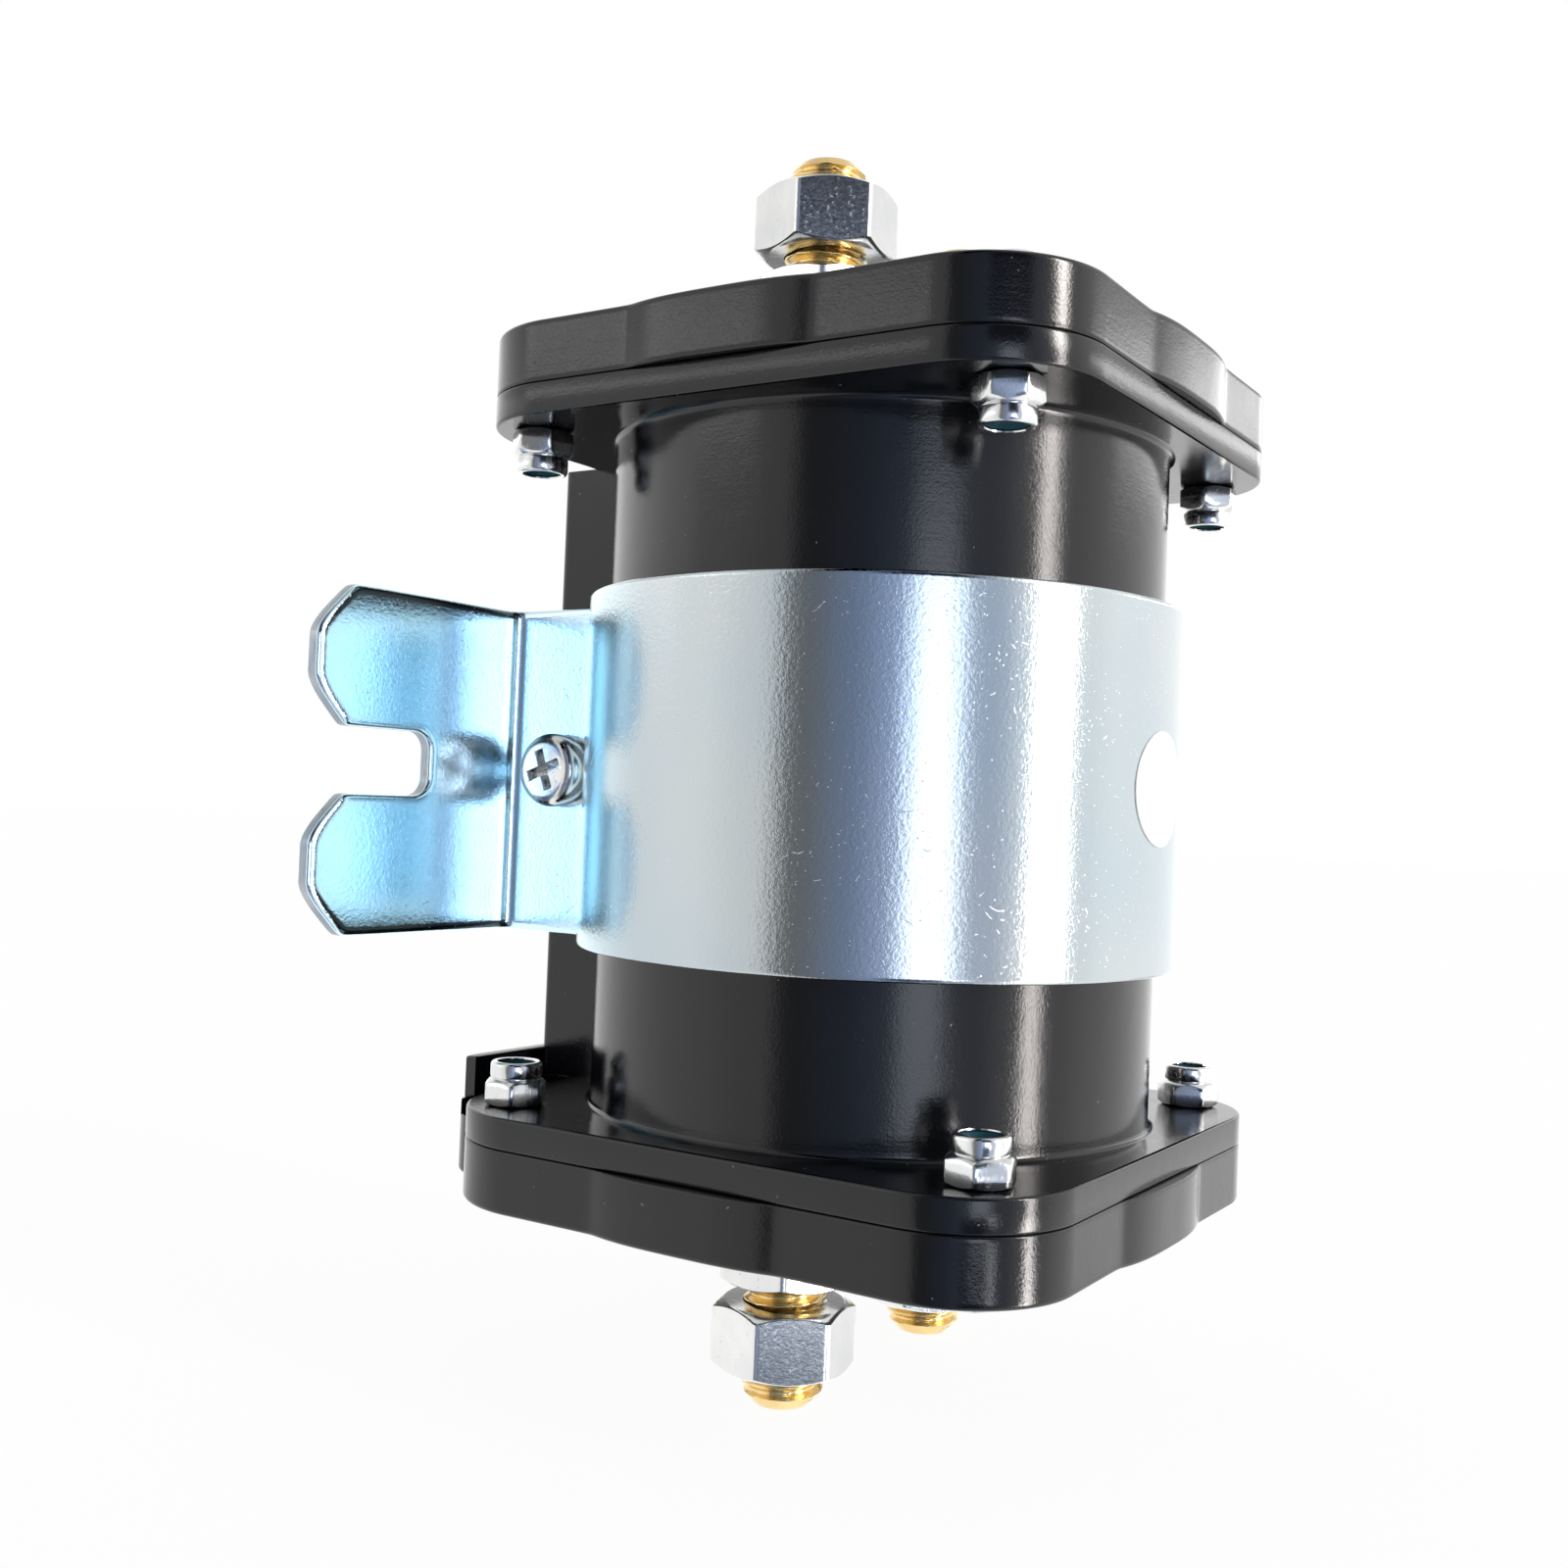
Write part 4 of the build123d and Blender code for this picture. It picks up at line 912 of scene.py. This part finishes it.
def labelRows(angles):
    # a disc in the plane of height and arc length, rolled on to the band
    band, radius, thick = strap["inner"] + strap["thick"], label["radius"], label["thick"]
    face = np.linspace(label["middle"], radius - label["edge"], label["rings"])
    reaches = np.array([*face, radius, radius, label["middle"]])[:, None]
    lifts = band + np.array([thick] * label["rings"] + [thick * label["edgeShare"], 0, 0])[:, None]
    roll = reaches * np.sin(angles) / band
    return np.stack([lifts * np.sin(roll), -lifts * np.cos(roll), reaches * np.cos(angles)], -1)


rows = labelRows(fullTurn(label["count"])) + np.array([0, axisY, 0])
addPiece("round-label", [skin(rows, False)], "front_label", "label_film", label["sharpAngle"])
print("label made")


# The other nodes keep their shape and take a finish
for row in frame["record"]["subparts"]:
    node = frame["nodes"][row["node"]]
    node.data.materials.clear()
    node.data.materials.append(finish[slotFinish[row["material_slot"]]])
print("finishes given")


# Studio: pale floor, a wall all round with soft boxes and dark cards before it, and the camera

studio = dict(
    floorHeight=boxOf("bottom_left_contact_stud")[0][2] - 0.3, floorHalf=3,    # the half in metres
    floorColour=(0.86, 0.86, 0.86, 1), seenFloor=0.95,
    wall=1.12, roof=-0.40, roofFrom=(32, 55), shade=(0.55, 0.68, 1, 1),
    # compass angles between which the wall's level changes, and the change
    steps=[(48, 74, -0.18), (80.5, 84, -0.74), (92, 108, 0.20), (108, 126, 0.38), (164, 172, 0.34),
           (196, 214, 0.20), (280, 350, -0.20)],
    # the same for the share of blue in the shade
    blues=[(88, 108, 1), (135, 150, -0.45), (163, 175, -0.55)],
    # soft boxes: compass angle, half width, soft edge, lowest and highest elevation, its soft edge, power, colour
    boxes=[(139, 12.5, 8, -11, 9, 6, 2.3, (0.88, 0.94, 1)),
           (185, 4.2, 1.6, -30, 34, 4, 17, (1, 0.94, 0.91)),
           (185, 9, 4, 17, 34, 2, 13, (1, 0.94, 0.88)), (187, 9, 4, -34, -17, 2, 10, (1, 0.96, 0.94)),
           (150, 5, 3, -18, -14.5, 1.5, 5, (0.95, 0.97, 1)),
           (50, 20, 8, 15.5, 16.5, 2, 2.2, (1, 1, 1)), (246, 30, 8, 13, 15, 2, 2, (1, 1, 1)),
           (2, 36, 4, 8, 14, 2, 0.3, (1, 1, 1))],
    # dark cards: the same with the share of light they take away
    cards=[(137, 22, 6, 16.8, 50, 1.5, 0.97), (135, 14, 4, -50, -16, 3, 0.80),
           (257, 20, 6, 16, 50, 1.5, 0.25), (257, 18, 6, -50, -17, 2, 0.24), (17, 24, 6, 16, 50, 1.5, 0.14)],
)


def makeWorld():
    # the wall's level by compass angle and height, times what each card leaves, plus each box's glow
    world = bpy.data.worlds.new("studio")
    bpy.context.scene.world = world
    world.use_nodes = True
    graph = Graph(world.node_tree)
    x, y, z = graph.parts(graph.node("TexCoord", {}, "Generated"))
    # degrees from the wall behind the right side
    compass = (y.maths("ARCTAN2", x) * float(180 / np.pi) + 270.0).maths("FLOORED_MODULO", 360.0)
    elevation = z.maths("ARCSINE") * float(180 / np.pi)
    light = sum(compass.ramp(low, high) * change for low, high, change in studio["steps"]) + studio["wall"]
    light = light + elevation.ramp(*studio["roofFrom"]) * studio["roof"]
    blue = sum(compass.ramp(low, high) * change for low, high, change in studio["blues"])
    total = graph.mix(blue, (1, 1, 1, 1), studio["shade"]).scaled(light)

    def panel(centre, half, soft, bottom, top, softHeight):    # one inside a soft-edged oblong, nought outside
        away = ((compass + (540.0 - centre)).maths("FLOORED_MODULO", 360.0) - 180.0).maths("ABSOLUTE")
        height = elevation.ramp(bottom - softHeight, bottom) * elevation.ramp(top + softHeight, top)
        return away.ramp(half, half - soft) * height

    for *oblong, share in studio["cards"]:
        total = total.scaled(1 - panel(*oblong) * share)
    for *oblong, power, colour in studio["boxes"]:
        total = total.plus(graph.scaled(colour, panel(*oblong) * power))
    seen = graph.node("LightPath", {}, "Is Camera Ray")
    lit = graph.node("Background", {"Color": total, "Strength": 1})
    white = graph.node("Background", {"Color": (1, 1, 1, 1), "Strength": 1})
    both = graph.node("MixShader", {0: seen, 1: lit, 2: white})
    graph.raw("OutputWorld", {"Surface": both})


def makeFloor():
    # matt floor, nearly white where the camera sees it and clear to reflections
    mesh = bpy.data.meshes.new("floor")
    r = studio["floorHalf"]
    z = studio["floorHeight"] * millimetre
    mesh.from_pydata([(-r, -r, z), (r, -r, z), (r, r, z), (-r, r, z)], [], [(0, 1, 2, 3)])
    material, graph = newMaterial("paleFloor")
    seen = graph.node("LightPath", {}, "Is Camera Ray")
    mirrored = graph.node("LightPath", {}, "Is Glossy Ray")
    matt = graph.node("BsdfDiffuse", {"Color": studio["floorColour"]})
    glow = graph.node("Emission", {"Color": (1, 1, 1, 1), "Strength": 1})
    clear = graph.node("BsdfTransparent", {})
    shown = graph.node("MixShader", {0: seen * studio["seenFloor"], 1: matt, 2: glow})
    both = graph.node("MixShader", {0: mirrored, 1: shown, 2: clear})
    graph.raw("OutputMaterial", {"Surface": both})
    mesh.materials.append(material)
    newObject("floor", mesh)


camera = dict(
    place=(-146.13, axisY - 82.94, -3.10), forward=(0.83927, 0.54325, 0.0225), roll=0.03936,
    lens=37.66, sensor=36, shiftX=0.0006, shiftY=-0.0081, clipStart=0.005,
)


def makeCamera():
    # forward, right and up from the photograph's fit, rolled about the line of sight
    forward = np.array(camera["forward"]) / np.linalg.norm(camera["forward"])
    right = np.cross(forward, [0, 0, 1])
    right = right / np.linalg.norm(right)
    up = np.cross(right, forward)
    c, s = np.cos(camera["roll"]), np.sin(camera["roll"])
    x, y = right * c + up * s, up * c - right * s
    data = bpy.data.cameras.new("camera")
    data.lens = camera["lens"]
    data.sensor_width = camera["sensor"]
    data.sensor_fit = "HORIZONTAL"
    data.shift_x = camera["shiftX"]
    data.shift_y = camera["shiftY"]
    data.clip_start = camera["clipStart"]
    made = newObject("camera", data)
    columns = np.stack([x, y, -forward, np.array(camera["place"]) * millimetre], -1)
    made.matrix_world = Matrix([*columns.tolist(), [0, 0, 0, 1]])
    bpy.context.scene.camera = made


makeWorld()
makeFloor()
makeCamera()
bpy.context.scene.view_settings.view_transform = "Standard"
print("studio made")
